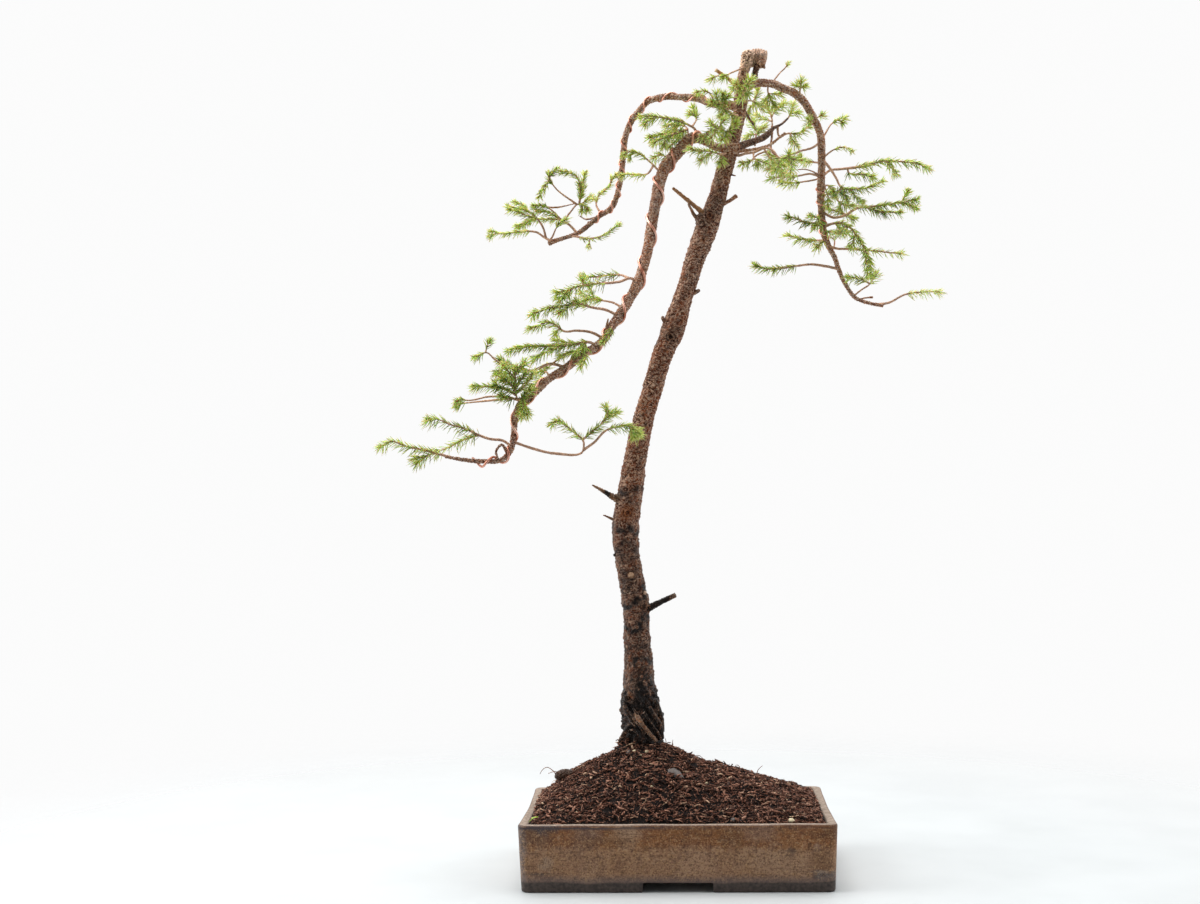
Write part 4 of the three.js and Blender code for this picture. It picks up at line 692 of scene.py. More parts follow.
# %% Routes of the shoots
SPRAYS = read_routes("""
lower_left_tip:
  1| -248,-99,482 -260,-100,486 -277,-105,491 -296,-109,495 -315,-112,501 -325,-113,496
  0| -267,-102,488 -278,-107,483 -285,-109,477
  0| -277,-107,484 -289,-101,482
lower_left_fork:
  3| -181,-91,493 -191,-89,501 -205,-87,503 -217,-85,507 -233,-92,515 -250,-97,520 -265,-101,526
     -273,-103,525
  0| -219,-86,508 -239,-79,502 -256,-75,494 -269,-73,490
lower_left_inner:
  4| -178,-89,500 -161,-86,493 -133,-80,486 -101,-74,489 -101,-72,500 -110,-74,509 -120,-77,517 -130,-80,523
     -135,-82,520
  0| -102,-72,501 -91,-70,511 -79,-72,520 -71,-73,530
  2| -101,-74,489 -89,-69,498 -75,-63,512 -63,-58,516 -49,-52,517 -39,-49,513
  0| -48,-52,517 -43,-54,511
  0| -49,-52,517 -42,-55,512 -37,-56,507
  0| -50,-52,517 -46,-56,511 -44,-58,505
  0| -79,-72,520 -72,-66,528 -64,-64,532
  0| -75,-72,526 -73,-76,532 -74,-78,537
lower_left_pair:
  3| -168,-83,544 -183,-86,550 -205,-90,551 -231,-93,547 -237,-96,548 -241,-98,546
  2| -180,-86,549 -206,-81,547 -231,-78,545 -240,-77,544 -244,-76,542
lower_left_star:
  5| -120,-71,583 -135,-76,588 -160,-85,580 -178,-92,586 -195,-98,590 -208,-101,600 -213,-104,598
     -218,-106,595
  0| -208,-101,600 -206,-103,607 -204,-105,611
  0| -183,-94,588 -191,-86,582 -198,-82,579
lower_left_cluster:
  1| -170,-84,541 -175,-89,551 -175,-94,562 -175,-99,573 -175,-103,581
  0| -176,-98,571 -184,-105,580 -187,-109,584
  0| -175,-100,575 -168,-107,583 -164,-109,587
  0| -175,-89,552 -186,-94,558 -199,-98,561 -213,-101,562 -220,-102,562
  0| -193,-96,560 -198,-100,565
  0| -175,-91,556 -165,-96,562 -158,-101,571 -155,-103,575
  0| -174,-88,549 -184,-94,548 -191,-96,551
  0| -170,-88,549 -167,-98,541 -167,-103,534 -168,-105,529
  0| -175,-90,556 -181,-96,565 -190,-100,570
  0| -175,-92,562 -184,-84,573 -192,-80,577
  0| -175,-92,562 -168,-98,570 -164,-101,575
  0| -170,-86,542 -165,-90,553 -159,-92,558
  0| -175,-100,580 -186,-96,589 -192,-94,592
  0| -168,-90,540 -164,-96,534 -162,-99,531
lower_left_ridge:
  1| -137,-75,572 -142,-69,579 -149,-61,581 -155,-57,579
  0| -144,-66,580 -143,-61,585
  0| -137,-72,572 -150,-66,569 -159,-64,562
lower_left_long:
  1| -83,-62,607 -94,-67,613 -107,-71,611 -123,-74,609 -142,-77,608 -160,-80,608 -176,-82,606 -183,-83,603
  0| -115,-72,610 -130,-80,606 -145,-85,599 -154,-87,594
  0| -103,-70,610 -117,-64,613 -130,-60,616
  0| -96,-67,612 -101,-75,605 -105,-79,602
  0| -96,-68,606 -109,-74,602 -124,-78,597
lower_left_over:
  1| -67,-55,630 -67,-66,630 -72,-71,620 -77,-73,613
lower_left_under:
  1| -94,-64,603 -94,-74,599 -99,-80,590 -102,-83,585
lower_left_knob:
  3| -75,-59,617 -90,-64,624 -107,-69,626 -121,-74,625 -131,-78,632 -141,-82,635 -151,-86,630 -158,-88,628
  0| -126,-76,628 -131,-70,624
lower_left_mid:
  2| -59,-52,644 -73,-57,650 -90,-62,653 -105,-66,657 -123,-70,654 -140,-74,651 -152,-77,647
  0| -111,-67,656 -122,-75,648 -126,-78,646
  0| -100,-65,656 -107,-61,660
  0| -151,-76,648 -157,-80,644
lower_left_back:
  2| -54,-51,652 -66,-43,660 -77,-38,663 -89,-32,666 -102,-26,664 -110,-22,663
  0| -87,-32,666 -93,-28,676 -95,-26,682
  0| -87,-32,666 -98,-26,670 -104,-22,674
lower_left_high:
  3| -37,-45,682 -46,-51,687 -57,-54,683 -73,-57,681 -89,-60,680 -105,-63,677 -120,-66,672 -129,-68,670
  0| -111,-64,675 -117,-68,668
  0| -99,-62,678 -100,-65,684
  1| -48,-51,687 -57,-42,692 -73,-34,693 -90,-27,692 -99,-23,693
  0| -111,-63,675 -120,-70,668 -125,-73,661
upper_left_tip:
  3| -144,67,749 -155,70,755 -162,71,760 -170,73,762 -186,76,762 -205,79,761 -219,81,764
  0| -212,80,762 -221,83,759
  2| -151,69,753 -154,63,764 -161,58,775 -173,54,784 -186,50,787 -194,48,789
  0| -169,55,781 -180,59,793 -187,61,796
  1| -144,68,753 -139,66,763 -135,64,769 -127,62,774
  0| -161,54,775 -172,46,777 -182,42,781 -192,40,784
upper_left_crown:
  2| -113,63,759 -120,68,766 -133,72,775 -149,76,777 -168,80,777 -182,83,773 -188,84,771
  1| -132,71,774 -146,66,788 -156,61,792 -164,58,791
  2| -130,71,773 -122,75,784 -112,79,795 -105,85,794 -101,89,790
  0| -109,82,795 -100,84,802 -96,85,805
  0| -107,83,794 -108,86,789
  1| -113,78,794 -141,73,817 -147,70,827 -146,68,831
  0| -146,70,825 -154,65,812 -158,62,803
  0| -111,80,796 -109,77,813 -113,73,828 -123,69,833 -131,67,834
  0| -146,69,825 -142,66,831 -138,64,835
  0| -110,79,797 -106,82,814 -105,85,827 -104,86,833
  0| -134,72,776 -142,66,781 -151,62,784 -160,60,785
  0| -168,79,777 -176,86,775 -183,90,772
upper_left_inner:
  1| -83,57,780 -89,64,792 -86,68,804 -78,71,811 -72,74,818 -70,76,826
  0| -87,66,799 -93,70,800
  0| -72,74,818 -70,72,824 -65,71,828
upper_left_under:
  1| -120,64,755 -112,58,752 -100,53,749 -85,48,750 -72,44,756 -62,42,763
  0| -97,52,746 -98,48,740
middle_low:
  2| -8,-25,809 -15,-31,818 -24,-35,826 -34,-38,833 -44,-41,835 -51,-43,832
  0| -41,-40,834 -45,-38,829
  1| -17,-32,820 -24,-27,812 -35,-19,812 -48,-13,814 -55,-10,814
middle_short:
  1| 2,-21,827 -3,-32,830 -11,-38,831 -16,-41,828
middle_high:
  2| 34,-11,854 31,-17,865 24,-20,869 12,-24,873 -5,-28,876 -21,-31,878 -30,-33,877
  0| -13,-29,877 -23,-36,871 -27,-38,868
  1| 28,-18,867 33,-10,877 32,-4,886 30,-1,892
  0| 33,-4,882 27,-7,885
middle_dense:
  1| 23,-14,852 21,-9,869 8,-3,873 -2,1,873
  0| 13,-5,871 2,1,866 -4,4,863
  0| 20,-11,865 9,-27,858 -5,-33,852 -16,-36,846
  0| 7,-28,857 -3,-30,848 -6,-32,843
  0| 10,-9,862 -5,-16,860 -15,-20,857 -21,-22,855
  0| 20,-9,865 10,-16,853 2,-20,844
front_high:
  1| 83,2,883 73,-14,884 63,-27,888 56,-38,889 51,-44,890
  0| 62,-28,888 63,-38,896 64,-42,899
  0| 58,-34,890 57,-42,895 56,-46,899
  0| 70,-16,889 66,-24,882 63,-29,878
  0| 70,-17,885 76,-29,875 78,-34,871
  0| 63,-30,889 66,-38,893 69,-42,896
front_low:
  1| 78,4,859 69,-14,860 60,-28,862 53,-40,863 50,-47,865
  0| 59,-30,862 63,-42,867 65,-46,869
  0| 57,-34,862 52,-44,852 49,-48,848
  0| 68,-16,860 76,-30,863 78,-37,866
  0| 71,-14,862 66,-24,854 62,-28,849
  0| 52,-38,859 45,-44,853 40,-47,849
upper_left_first:
  1| 55,11,901 50,8,912 43,4,914 35,0,912
middle_skirt:
  1| 73,5,841 61,-12,836 47,-23,837 34,-30,837 26,-34,838
  0| 52,-20,837 42,-26,829 38,-29,826
  0| 59,-14,836 62,-25,826 60,-30,822
top_tuft:
  1| 89,5,912 90,-9,909 92,-18,912 93,-23,914
  0| 90,-11,909 83,-20,912 80,-25,915
  0| 90,-12,910 94,-17,906
  0| 89,-14,910 82,-22,910 77,-26,909
  0| 92,-15,912 94,-21,916 96,-24,919
  0| 90,-14,909 87,-22,902 85,-25,898
  2| 91,0,940 83,-4,936 73,-8,931 66,-11,927
  1| 64,-4,932 58,-10,928 53,-14,925
top_right_sprig:
  3| 126,12,926 130,14,932 135,17,938 140,19,943 143,20,948
back_right_end:
  1| 133,52,869 146,60,873 156,65,873 166,70,879 171,72,884
  0| 147,61,873 150,54,862 154,51,857
back_right_rise:
  2| 122,45,870 125,50,879 125,54,891 122,57,901 119,59,909
  0| 125,54,892 129,59,900 135,62,906 140,64,910
  2| 125,50,877 136,56,883 146,62,893 149,65,901 152,67,909
  0| 125,53,886 115,60,892 108,63,896
  0| 148,64,897 154,60,898 157,58,898
back_right_near:
  1| 103,27,853 105,38,866 110,46,875 115,51,879
  0| 106,40,869 98,48,870 94,52,867
  0| 108,42,871 103,50,882 102,54,887
top_right_under:
  1| 119,10,923 119,20,915 123,29,907 127,34,902
  0| 120,21,913 129,28,914 134,31,916
  0| 122,26,909 117,30,908
trunk_right:
  1| 86,6,899 99,17,904 106,28,902 111,34,901
  0| 101,20,904 106,27,914 107,29,919
  0| 104,24,903 97,33,897 95,37,892
front_right:
  5| 81,4,837 91,-1,838 100,-6,838 114,-16,841 122,-23,836 128,-29,827 136,-35,825 147,-40,822 154,-42,821
  0| 130,-31,827 126,-37,816 122,-39,811
  0| 137,-36,825 139,-39,829
  0| 140,-37,824 142,-44,813 140,-47,807
  1| 100,-6,838 100,-17,829 109,-25,823 114,-29,821
  0| 100,-18,828 91,-26,823 86,-30,821
  0| 103,-20,826 103,-25,820
  1| 112,-14,841 117,-4,834 121,3,827 118,6,821
  0| 118,-2,832 129,0,826 134,1,824
  0| 119,1,829 129,8,818 134,11,816
right_inward:
  2| 182,43,816 169,37,819 155,32,816 142,27,814 128,22,813 121,19,811
  0| 145,28,815 139,31,820
  2| 180,46,815 171,48,813 159,52,812 146,58,812 137,62,814
right_cross:
  3| 180,36,857 171,31,849 158,27,845 145,22,839 136,17,835 125,12,835 120,10,838
  0| 139,19,837 134,23,833
right_back:
  1| 183,40,832 175,48,835 164,55,838 153,61,841 146,64,841
  0| 162,56,838 159,60,845
right_arch_star:
  1| 157,21,908 157,17,916 158,13,922 158,11,925
  0| 157,16,918 161,12,918
  0| 157,16,917 154,19,921
right_arch_tuft:
  1| 174,29,885 179,21,884 182,17,885
  1| 174,30,876 170,24,877 167,20,880
right_high:
  2| 182,36,858 190,40,871 196,43,880 204,46,885 211,48,888
  0| 205,46,885 209,44,882
right_mid_sprig:
  2| 184,40,835 190,33,842 197,29,846 205,26,848 213,23,846 217,21,843
right_long:
  3| 184,43,815 194,49,825 207,53,827 222,57,829 240,62,833 258,67,838 281,72,838 302,77,836 315,80,831
  0| 216,56,824 232,52,820 244,49,816
  0| 262,68,838 271,74,830 276,76,825
right_drop:
  3| 184,39,837 191,32,826 199,26,811 204,22,800 218,18,797 235,13,797 245,10,801 251,8,803
  0| 206,21,799 198,13,791 194,9,793
  0| 214,19,798 222,15,786 227,13,781
right_fill:
  1| 182,46,803 190,37,805 194,30,797 196,26,792
  1| 190,36,804 202,42,787 212,46,782 219,48,782
  0| 207,44,784 205,48,780
  1| 185,46,808 188,40,799 190,36,788 189,34,780
  0| 206,22,799 207,16,791 210,14,783
right_fan:
  3| 183,50,776 197,55,769 212,59,772 227,63,781 243,68,783 263,73,786 284,77,788 299,80,783
  0| 281,76,788 287,80,797 290,82,803
  0| 238,66,783 254,61,776 269,57,774 276,55,774
  0| 207,58,771 217,66,772 223,70,770
  0| 214,60,772 205,64,777 196,66,780
  0| 284,76,788 292,70,790 299,68,791
right_hanging:
  1| 185,53,756 195,45,760 205,40,760 216,36,753 225,32,740 231,29,727 237,26,711 238,25,695
  0| 211,38,756 204,29,747 198,25,746
  0| 221,34,747 218,27,736 216,24,730
  0| 231,29,727 233,22,708 234,20,694
  0| 198,43,760 207,52,753 213,57,751
  0| 188,50,753 195,44,750 206,40,750
right_bare_bend:
  2| 192,59,734 202,54,731 215,50,730 229,46,728 246,43,726 264,40,723 275,38,722
right_left_upper:
  1| 183,52,764 173,44,761 161,37,761 150,31,765 142,28,767
  0| 183,48,763 176,38,767 170,34,768
  0| 183,46,762 177,38,758 174,36,756
right_left_lower:
  1| 188,57,741 179,64,743 167,70,744 154,75,748 146,77,751
  0| 188,57,741 181,48,737 176,44,733
right_left_long:
  3| 204,66,707 188,61,711 170,57,713 153,53,711 134,49,708 115,45,707 103,43,711
right_low:
  2| 223,73,676 232,68,683 240,63,688 244,58,694 247,56,699
  0| 241,62,689 226,56,695 215,53,696
right_tip:
  2| 252,80,665 266,84,668 286,89,678 303,93,681 319,97,682 328,99,682
""")
print(len(SPRAYS), "sprays")

# %% [markdown]
# Every CAD spray is a node of its own. Here all sprays of a limb share one mesh for their shoots and one for
# their needles, because nothing moves them apart.

# %% Which limb bears which spray
GROUPS = {  # the sprays of each limb, by how their names start
    "lower_left": ("lower_left",),
    "upper_left": ("upper_left",),
    "middle": ("middle", "front_high", "front_low", "top_tuft", "top_right_sprig"),
    "inner_right": ("back_right", "top_right_under", "trunk_right", "front_right"),
    "right": ("right",),
}


def group_of(spray):
    """The limb a spray belongs to."""
    return next(group for group, starts in GROUPS.items() if spray.startswith(starts))


print({group: sum(group_of(spray) == group for spray in SPRAYS) for group in GROUPS})

# %% [markdown]
# A shoot is a thin sweep, rough with the pegs that fallen needles leave. It starts a little inside the wood
# that bears it: its first points are carried on to the nearest place on that wood's axis.

# %% Shoot surfaces
SHOOT_RADIUS = 0.85
SHOOT_TAPER = 1 / 90  # added radius for each mm back from the tip
THICKEST_SHOOT = 1.75
wood_axes = np.concatenate([smooth_path(stations, 2)[0][:, :3] for stations in BRANCHES.values()])


def nearest_point(axes, point):
    """The point of a cloud that is nearest to the given one."""
    return axes[np.argmin(np.linalg.norm(axes - point, axis=1))]


shoots = []  # (spray, path, distance at which needles start, the same path's run)
for spray, routes in SPRAYS.items():
    axes = wood_axes
    for leafy_from, *points in routes:
        points = np.array(points, float)
        base = nearest_point(axes, points[0])
        route = np.concatenate([[base], points[1:] if np.linalg.norm(base - points[0]) < 3 else points])
        path, run = smooth_path(route, 1.2)
        leafy = run[np.argmin(np.linalg.norm(path - points[leafy_from], axis=1))] if leafy_from else 3.0
        shoots.append((spray, path, leafy, run))
        axes = path if axes is wood_axes else np.concatenate([axes, path])

twig_parts = {group: [] for group in GROUPS}
twig_marks = {group: [] for group in GROUPS}
for seed, (spray, path, leafy, run) in enumerate(shoots):
    group = group_of(spray)
    radius = np.minimum(SHOOT_RADIUS + SHOOT_TAPER * (run[-1] - run), THICKEST_SHOOT)
    vertices, faces, marks = limb(
        np.column_stack([path, radius]), step=1.8, columns=7, plate_size=1.5, plate_height=0.45,
        seed=200 + seed, flare=0.3)
    twig_parts[group].append((vertices, faces))
    twig_marks[group].append(bark_marks(vertices, marks, 0.95, worn=0.6, pale=0.4))
for group in GROUPS:
    vertices, faces = gather(twig_parts[group])
    make_piece(f"shoots_{group}", vertices, faces, bark, "bark", **{
        key: np.concatenate([each[key] for each in twig_marks[group]]) for key in twig_marks[group][0]})

# %% [markdown]
# ## Needles
# A spruce needle is a stiff four-sided blade, here mostly 6 to 13 mm long and 1 mm wide, curved a little
# towards the shoot's tip. Needles stand round the shoot in a spiral of 137.5 degrees from one to the next.
# Those above are shorter and pressed forward, those below are longer and stand out like a comb. Round a bud
# they crowd into a star. All of them are worked out at once, as short strips with three corners to a
# ring: two edges and a ridge, which is enough for a shape that is repeated ten thousand times.

# %% Strips: many small bent bars at once
def strips(centres, wide, thick):
    """Vertices and faces of many bars. centres, wide, thick: (bars, rings, 3), the last two as half axes.

    A ring's corners are centre + wide, + thick and - wide, so a bar has a flat back and a ridge. Both ends
    are closed by a triangle.
    """
    bars, rings = centres.shape[:2]
    corners = np.stack([centres + wide, centres + thick, centres - wide], axis=2)
    ends = np.array([[2, 1, 0], np.array([0, 1, 2]) + (rings - 1) * 3])
    starts = np.arange(bars)[:, None, None] * rings * 3
    faces = [(one + starts).reshape(-1, one.shape[1]) for one in (tube_faces(rings, 3), ends)]
    return corners.reshape(-1, 3), faces


NEEDLE_BEND = 0.14  # how far a needle's tip bends towards the shoot's tip, as a share of its length


def needle_arrays(root, along, outward, lean, length, width):
    """Needle strips. A needle's middle line is root + length * (s * direction + bend * s^2 * along).

    direction leans from along to outward by the angle lean. The width goes as 0.7, 1, 0.85, 0.12.
    """
    s = np.array([0.0, 0.3, 0.72, 1.0])[None, :, None]
    share = np.array([0.7, 1.0, 0.85, 0.12])[None, :, None]
    direction = along * np.cos(lean)[:, None] + outward * np.sin(lean)[:, None]
    side = unit(np.cross(direction, along + 0.01))
    flat = np.cross(side, direction)
    reach = length[:, None, None]
    centres = root[:, None] + reach * (s * direction[:, None] + NEEDLE_BEND * s**2 * along[:, None])
    wide = side[:, None] * share * width[:, None, None]
    thick = flat[:, None] * share * width[:, None, None] * 1.3
    return centres, wide, thick


print("one strip of four rings:", len(tube_faces(4, 3)) + 2, "faces")

# %% [markdown]
# A needle is a leaf with a thin wax on it: olive green where it is old or shaded, a clear yellow-green where
# it is fresh, with a paler tip. Each needle has one shade of its own, and a faint mottle along it. A little
# of the light that falls on its back comes through, which the subsurface share stands for.

# %% Material: spruce needle, waxy
needle_green, tree, where = new_material(
    "spruce_needle_waxy", Roughness=0.5, IOR=1.4, Specular_IOR_Level=0.35, Subsurface_Weight=0.3,
    Subsurface_Scale=MM)
fresh, tip = [
    add(tree, "ShaderNodeAttribute", output="Fac", attribute_name=name) for name in ("fresh", "tip")]
mottle = add(tree, "ShaderNodeTexNoise", {"Vector": where, "Scale": 1 / (3 * MM), "Detail": 2.0})
colour = add(tree, "ShaderNodeValToRGB", {"Fac": fresh}, stops=[
    (0.0, "32490e"), (0.2, "597a1c"), (0.42, "91b037"), (0.62, "bad953"), (0.82, "daef78"), (1.0, "f3f9b8"),
])
colour = laid_over(
    tree, colour,
    (mottle, 0.5, 0.35, 0.45, "47590f"),
    (mottle, 0.56, 0.7, 0.4, "dae99c"),
    (tip, 0.0, 1.0, 1.0, "e8e6a6"),
)
finish_surface(tree, bump=(mottle, 0.1, 0.5), Base_Color=colour)
print("needles:", len(tree.nodes), "nodes")

# %% [markdown]
# No two sprays are alike: some are long and open, others short, dense or fresh. A table gives each a look.

# %% Looks of the sprays
NEEDLE_LOOKS = {  # length in mm, lean from the shoot in degrees, needles for each mm of shoot, freshness
    "upper_left_crown": (8, 40, 2.5, 0.5), "upper_left_tip": (8, 40, 2.4, 0.48),
    "upper_left_inner": (7, 36, 2.0, 0.52), "upper_left_under": (7, 32, 2.0, 0.68),
    "upper_left_first": (8, 40, 1.8, 0.6), "middle_low": (8, 42, 1.8, 0.58),
    "lower_left_high": (11, 55, 1.5, 0.42), "lower_left_fork": (11, 54, 1.6, 0.44),
    "lower_left_tip": (10.5, 50, 1.8, 0.46), "lower_left_long": (9.5, 44, 2.6, 0.44),
    "lower_left_star": (9, 45, 1.9, 0.36), "lower_left_cluster": (9.5, 52, 2.9, 0.43),
    "lower_left_pair": (8.5, 46, 1.7, 0.36), "lower_left_over": (8, 50, 2.4, 0.6),
    "right_mid_sprig": (6, 35, 2.0, 0.62), "right_drop": (8.5, 45, 2.3, 0.46),
    "right_fan": (8.5, 48, 2.4, 0.42), "right_fill": (9, 50, 2.3, 0.46), "right_inward": (9, 45, 2.2, 0.68),
    "right_bare_bend": (9, 52, 1.2, 0.62), "right_high": (8.5, 45, 2.0, 0.6),
    "right_tip": (9.5, 45, 1.7, 0.7),
    "top_tuft": (10.5, 50, 1.6, 0.64), "front_low": (10, 55, 1.8, 0.5), "front_high": (9.5, 52, 2.0, 0.42),
    "top_right_sprig": (6, 45, 1.6, 0.75),
}
USUAL_LOOKS = (9.5, 48, 2.2, 0.58)
print(len(NEEDLE_LOOKS), "sprays have a look of their own")

# %% [markdown]
# Each shoot gets a spiral of needles and, in its last millimetres, the star round its bud. Angle, lean,
# length and shade of a needle are the rule's value plus a little chance. The bud is a short spindle.

# %% Needles and buds along every shoot
NEEDLE_HALF_WIDTH = 0.52
STAR_NEEDLES, STAR_SPAN = 21, 3.0  # how many, and how far back from the shoot's tip, in mm
STAR_LEAN = (10, 78)  # degrees
GOLDEN_ANGLE = np.radians(137.5)
COMB_LEAN, COMB_LENGTH = 20, 0.18  # how much more a needle on the underside leans, and how much longer it is
BUD_PLACES = [-1.5, -0.8, 0.2, 1.2, 2.1, 2.8]  # along the shoot from its tip, in mm
BUD_RADII = [0.5, 1.25, 1.5, 1.25, 0.75, 0.1]

random = np.random.default_rng(7)
needle_parts = {group: [] for group in GROUPS}
freshness = {group: [] for group in GROUPS}
bud_parts = []
for spray, path, leafy, run in shoots:
    group = group_of(spray)
    usual_length, usual_lean, per_mm, freshest = NEEDLE_LOOKS.get(spray, USUAL_LOOKS)
    tangent, across, side = frames_along(path)
    count = int((run[-1] - leafy) * per_mm)
    place = np.concatenate([
        np.sort(random.uniform(leafy, run[-1] - 1.5, count)),
        random.uniform(run[-1] - STAR_SPAN, run[-1], STAR_NEEDLES)])
    star = np.arange(len(place)) >= count
    to_tip = run[-1] - place
    angle = GOLDEN_ANGLE * np.arange(len(place)) + random.normal(0, 0.35, len(place))
    at = [np.stack([np.interp(place, run, column) for column in part.T], axis=1)
          for part in (path, tangent, across, side)]
    root, along = at[0], unit(at[1])
    outward = at[2] * np.cos(angle)[:, None] + at[3] * np.sin(angle)[:, None]
    down = -outward[:, 2]
    lean = np.radians(np.where(
        star, random.uniform(*STAR_LEAN, len(place)),
        usual_lean + COMB_LEAN * down + random.normal(0, 9, len(place))))
    length = usual_length * (1 + COMB_LENGTH * down) * random.normal(1, 0.14, len(place))
    length *= np.where(star, 0.92, 1.0)
    width = NEEDLE_HALF_WIDTH * random.uniform(0.8, 1.15, len(place))
    needle_parts[group].append(needle_arrays(root, along, outward, lean, length, width))
    tone = freshest + 0.25 * np.exp(-to_tip / 9) + random.normal(0, 0.1) + random.normal(0, 0.17, len(place))
    freshness[group].append(np.clip(tone, 0, 1))
    bud = path[-1] + tangent[-1] * np.array(BUD_PLACES)[:, None]
    bud_parts.append(closed_tube(sweep(bud, np.array(BUD_RADII)[:, None], 8)))
print(sum(len(part[0]) for parts in needle_parts.values() for part in parts), "needles")

# %% Needle pieces
for group in GROUPS:
    centres, wide, thick = (np.concatenate([part[k] for part in needle_parts[group]]) for k in range(3))
    vertices, faces = strips(centres, wide, thick)
    fresh = np.repeat(np.concatenate(freshness[group]), 4 * 3)  # four rings of three corners
    tip = np.tile(np.repeat([0, 0, 0.2, 0.6], 3), len(centres))
    nodes = [f"spray_{spray}" for spray in SPRAYS if group_of(spray) == group]
    make_piece(f"needles_{group}", vertices, faces, needle_green, "needles", nodes, flat=True,
               fresh=fresh, tip=tip)

# %% [markdown]
# A bud is a cone of small scales glued together with resin, orange brown and slightly glossy.

# %% Material: bud scales, resinous
bud_scale, tree, where = new_material("bud_scales_resinous", Roughness=0.5, IOR=1.5)
scales = add(tree, "ShaderNodeTexNoise", {"Vector": where, "Scale": 1 / (1.2 * MM), "Detail": 2.0})
finish_surface(tree, bump=(scales, 0.3, 0.8), Base_Color=add(
    tree, "ShaderNodeValToRGB", {"Fac": scales}, stops=[(0.3, "7a4526"), (0.55, "b06c38"), (0.8, "d9a868")]))
make_piece("buds", *gather(bud_parts), bud_scale, "needles")

# %% [markdown]
# ## Copper training wires
# The branches were bent with annealed copper wire, wound on in an open spiral and left there. The wire is
# soft, salmon pink where it is clean and brown where it has tarnished. Each one is a helix round its
# branch: the branch's own path, plus a circle just wider than the bark that turns as it goes. No two turns
# are alike in handwork, so the places where the wire crosses the front are what sets each turn.

# %% Material: annealed copper, drawn and tarnished
copper, tree, where = new_material("annealed_copper_drawn", Metallic=1.0, Roughness=0.42)
tarnish, draw_marks = [
    add(tree, "ShaderNodeTexNoise", {"Vector": where, "Scale": 1 / (size * MM), "Detail": 3.0})
    for size in (11, 0.7)]
colour = add(tree, "ShaderNodeValToRGB", {"Fac": tarnish}, stops=[
    (0.3, "b0705a"), (0.48, "e0a58f"), (0.7, "f6d0bf"),
])
colour = laid_over(tree, colour, (draw_marks, 0.55, 0.7, 0.5, "8a5a4a"))
finish_surface(tree, bump=(draw_marks, 0.05, 0.8), Base_Color=colour)
print("copper:", len(tree.nodes), "nodes")

# %% Wires
WIRES = {  # radius, start and end along the branch, and each crossing of its front, all in mm
    "lower_left": (1.4, 47, 556, (60, 94, 136, 184, 239, 287, 332, 380, 430, 485, 512, 538)),
    "upper_left": (1.0, 41, 288, (59, 94, 120, 149, 177, 203, 230, 251, 272)),
    "right": (0.95, 184, 256, (193, 208, 226, 244)),
}
SLACK = {"lower_left": ((527, 6, 1.6), (543, 5, 2.4))}  # loose turns: where, half width and gap in mm
LOOSE_ENDS = {"right": [(193, 47, 744), (197, 46, 741), (197, 46, 732)]}
WIRE_SUNK = 0.2  # how far a wire is pressed into the bark, in mm


def wire_route(branch, radius, start, end, crossings):
    """A helix round a branch, and the direction out from the branch at each of its points.

    centre + (bark radius + wire radius - sunk + slack) * turning direction, where the slack is
    gap * e^(-((run - place) / half width)^2) at each loose turn. The angle is a full turn from each crossing
    to the next, in proportion to the run between them, and evened out over 16 mm.
    """
    path, run = smooth_path(BRANCHES[branch], 0.5)
    _, across, side = frames_along(path[:, :3])
    place = np.arange(start, end, 0.8)
    first, last = crossings[1] - crossings[0], crossings[-1] - crossings[-2]
    known = [crossings[0] - first * 2, crossings[0] - first, *crossings, crossings[-1] + last]
    turns = sum(np.interp(place + shift, known, np.arange(len(known))) for shift in (-8, -4, 0, 4, 8)) / 5
    angle = -TURN * turns
    at = [np.stack([np.interp(place, run, column) for column in part.T], axis=1)
          for part in (path, across, side)]
    outward = unit(at[1] * np.cos(angle)[:, None] + at[2] * np.sin(angle)[:, None])
    slack = sum(gap * np.exp(-((place - middle) / half_width) ** 2)
                for middle, half_width, gap in SLACK.get(branch, ()))
    offset = at[0][:, 3] + radius - WIRE_SUNK + slack
    return at[0][:, :3] + offset[:, None] * outward, outward


for branch, (radius, *route_facts) in WIRES.items():
    route, outward = wire_route(branch, radius, *route_facts)
    if branch in LOOSE_ENDS:
        tail = smooth_path(np.array([route[-1], *LOOSE_ENDS[branch]]), 0.8)[0][1:]
        route = np.concatenate([route, tail])
        outward = np.concatenate([outward, np.tile(outward[-1], (len(tail), 1))])
    radii = np.full((len(route), 1), radius)
    radii[[0, -1]] *= 0.7
    make_piece(f"wire_{branch}", *closed_tube(sweep(route, radii, 10, outward)), copper, "copper",
               [f"copper_wire_{branch}"])

# %% [markdown]
# ## The pot
# The pot was pressed from slabs of stoneware clay: straight sides that lean out a little, a flat rim, a foot
# cut away in the middle of each side, and corners rounded by a finger. Nothing on it is quite straight. Its
# wall is one closed profile carried round a rounded rectangle. At the notches the lower part of the profile
# is lifted to the notch's height.

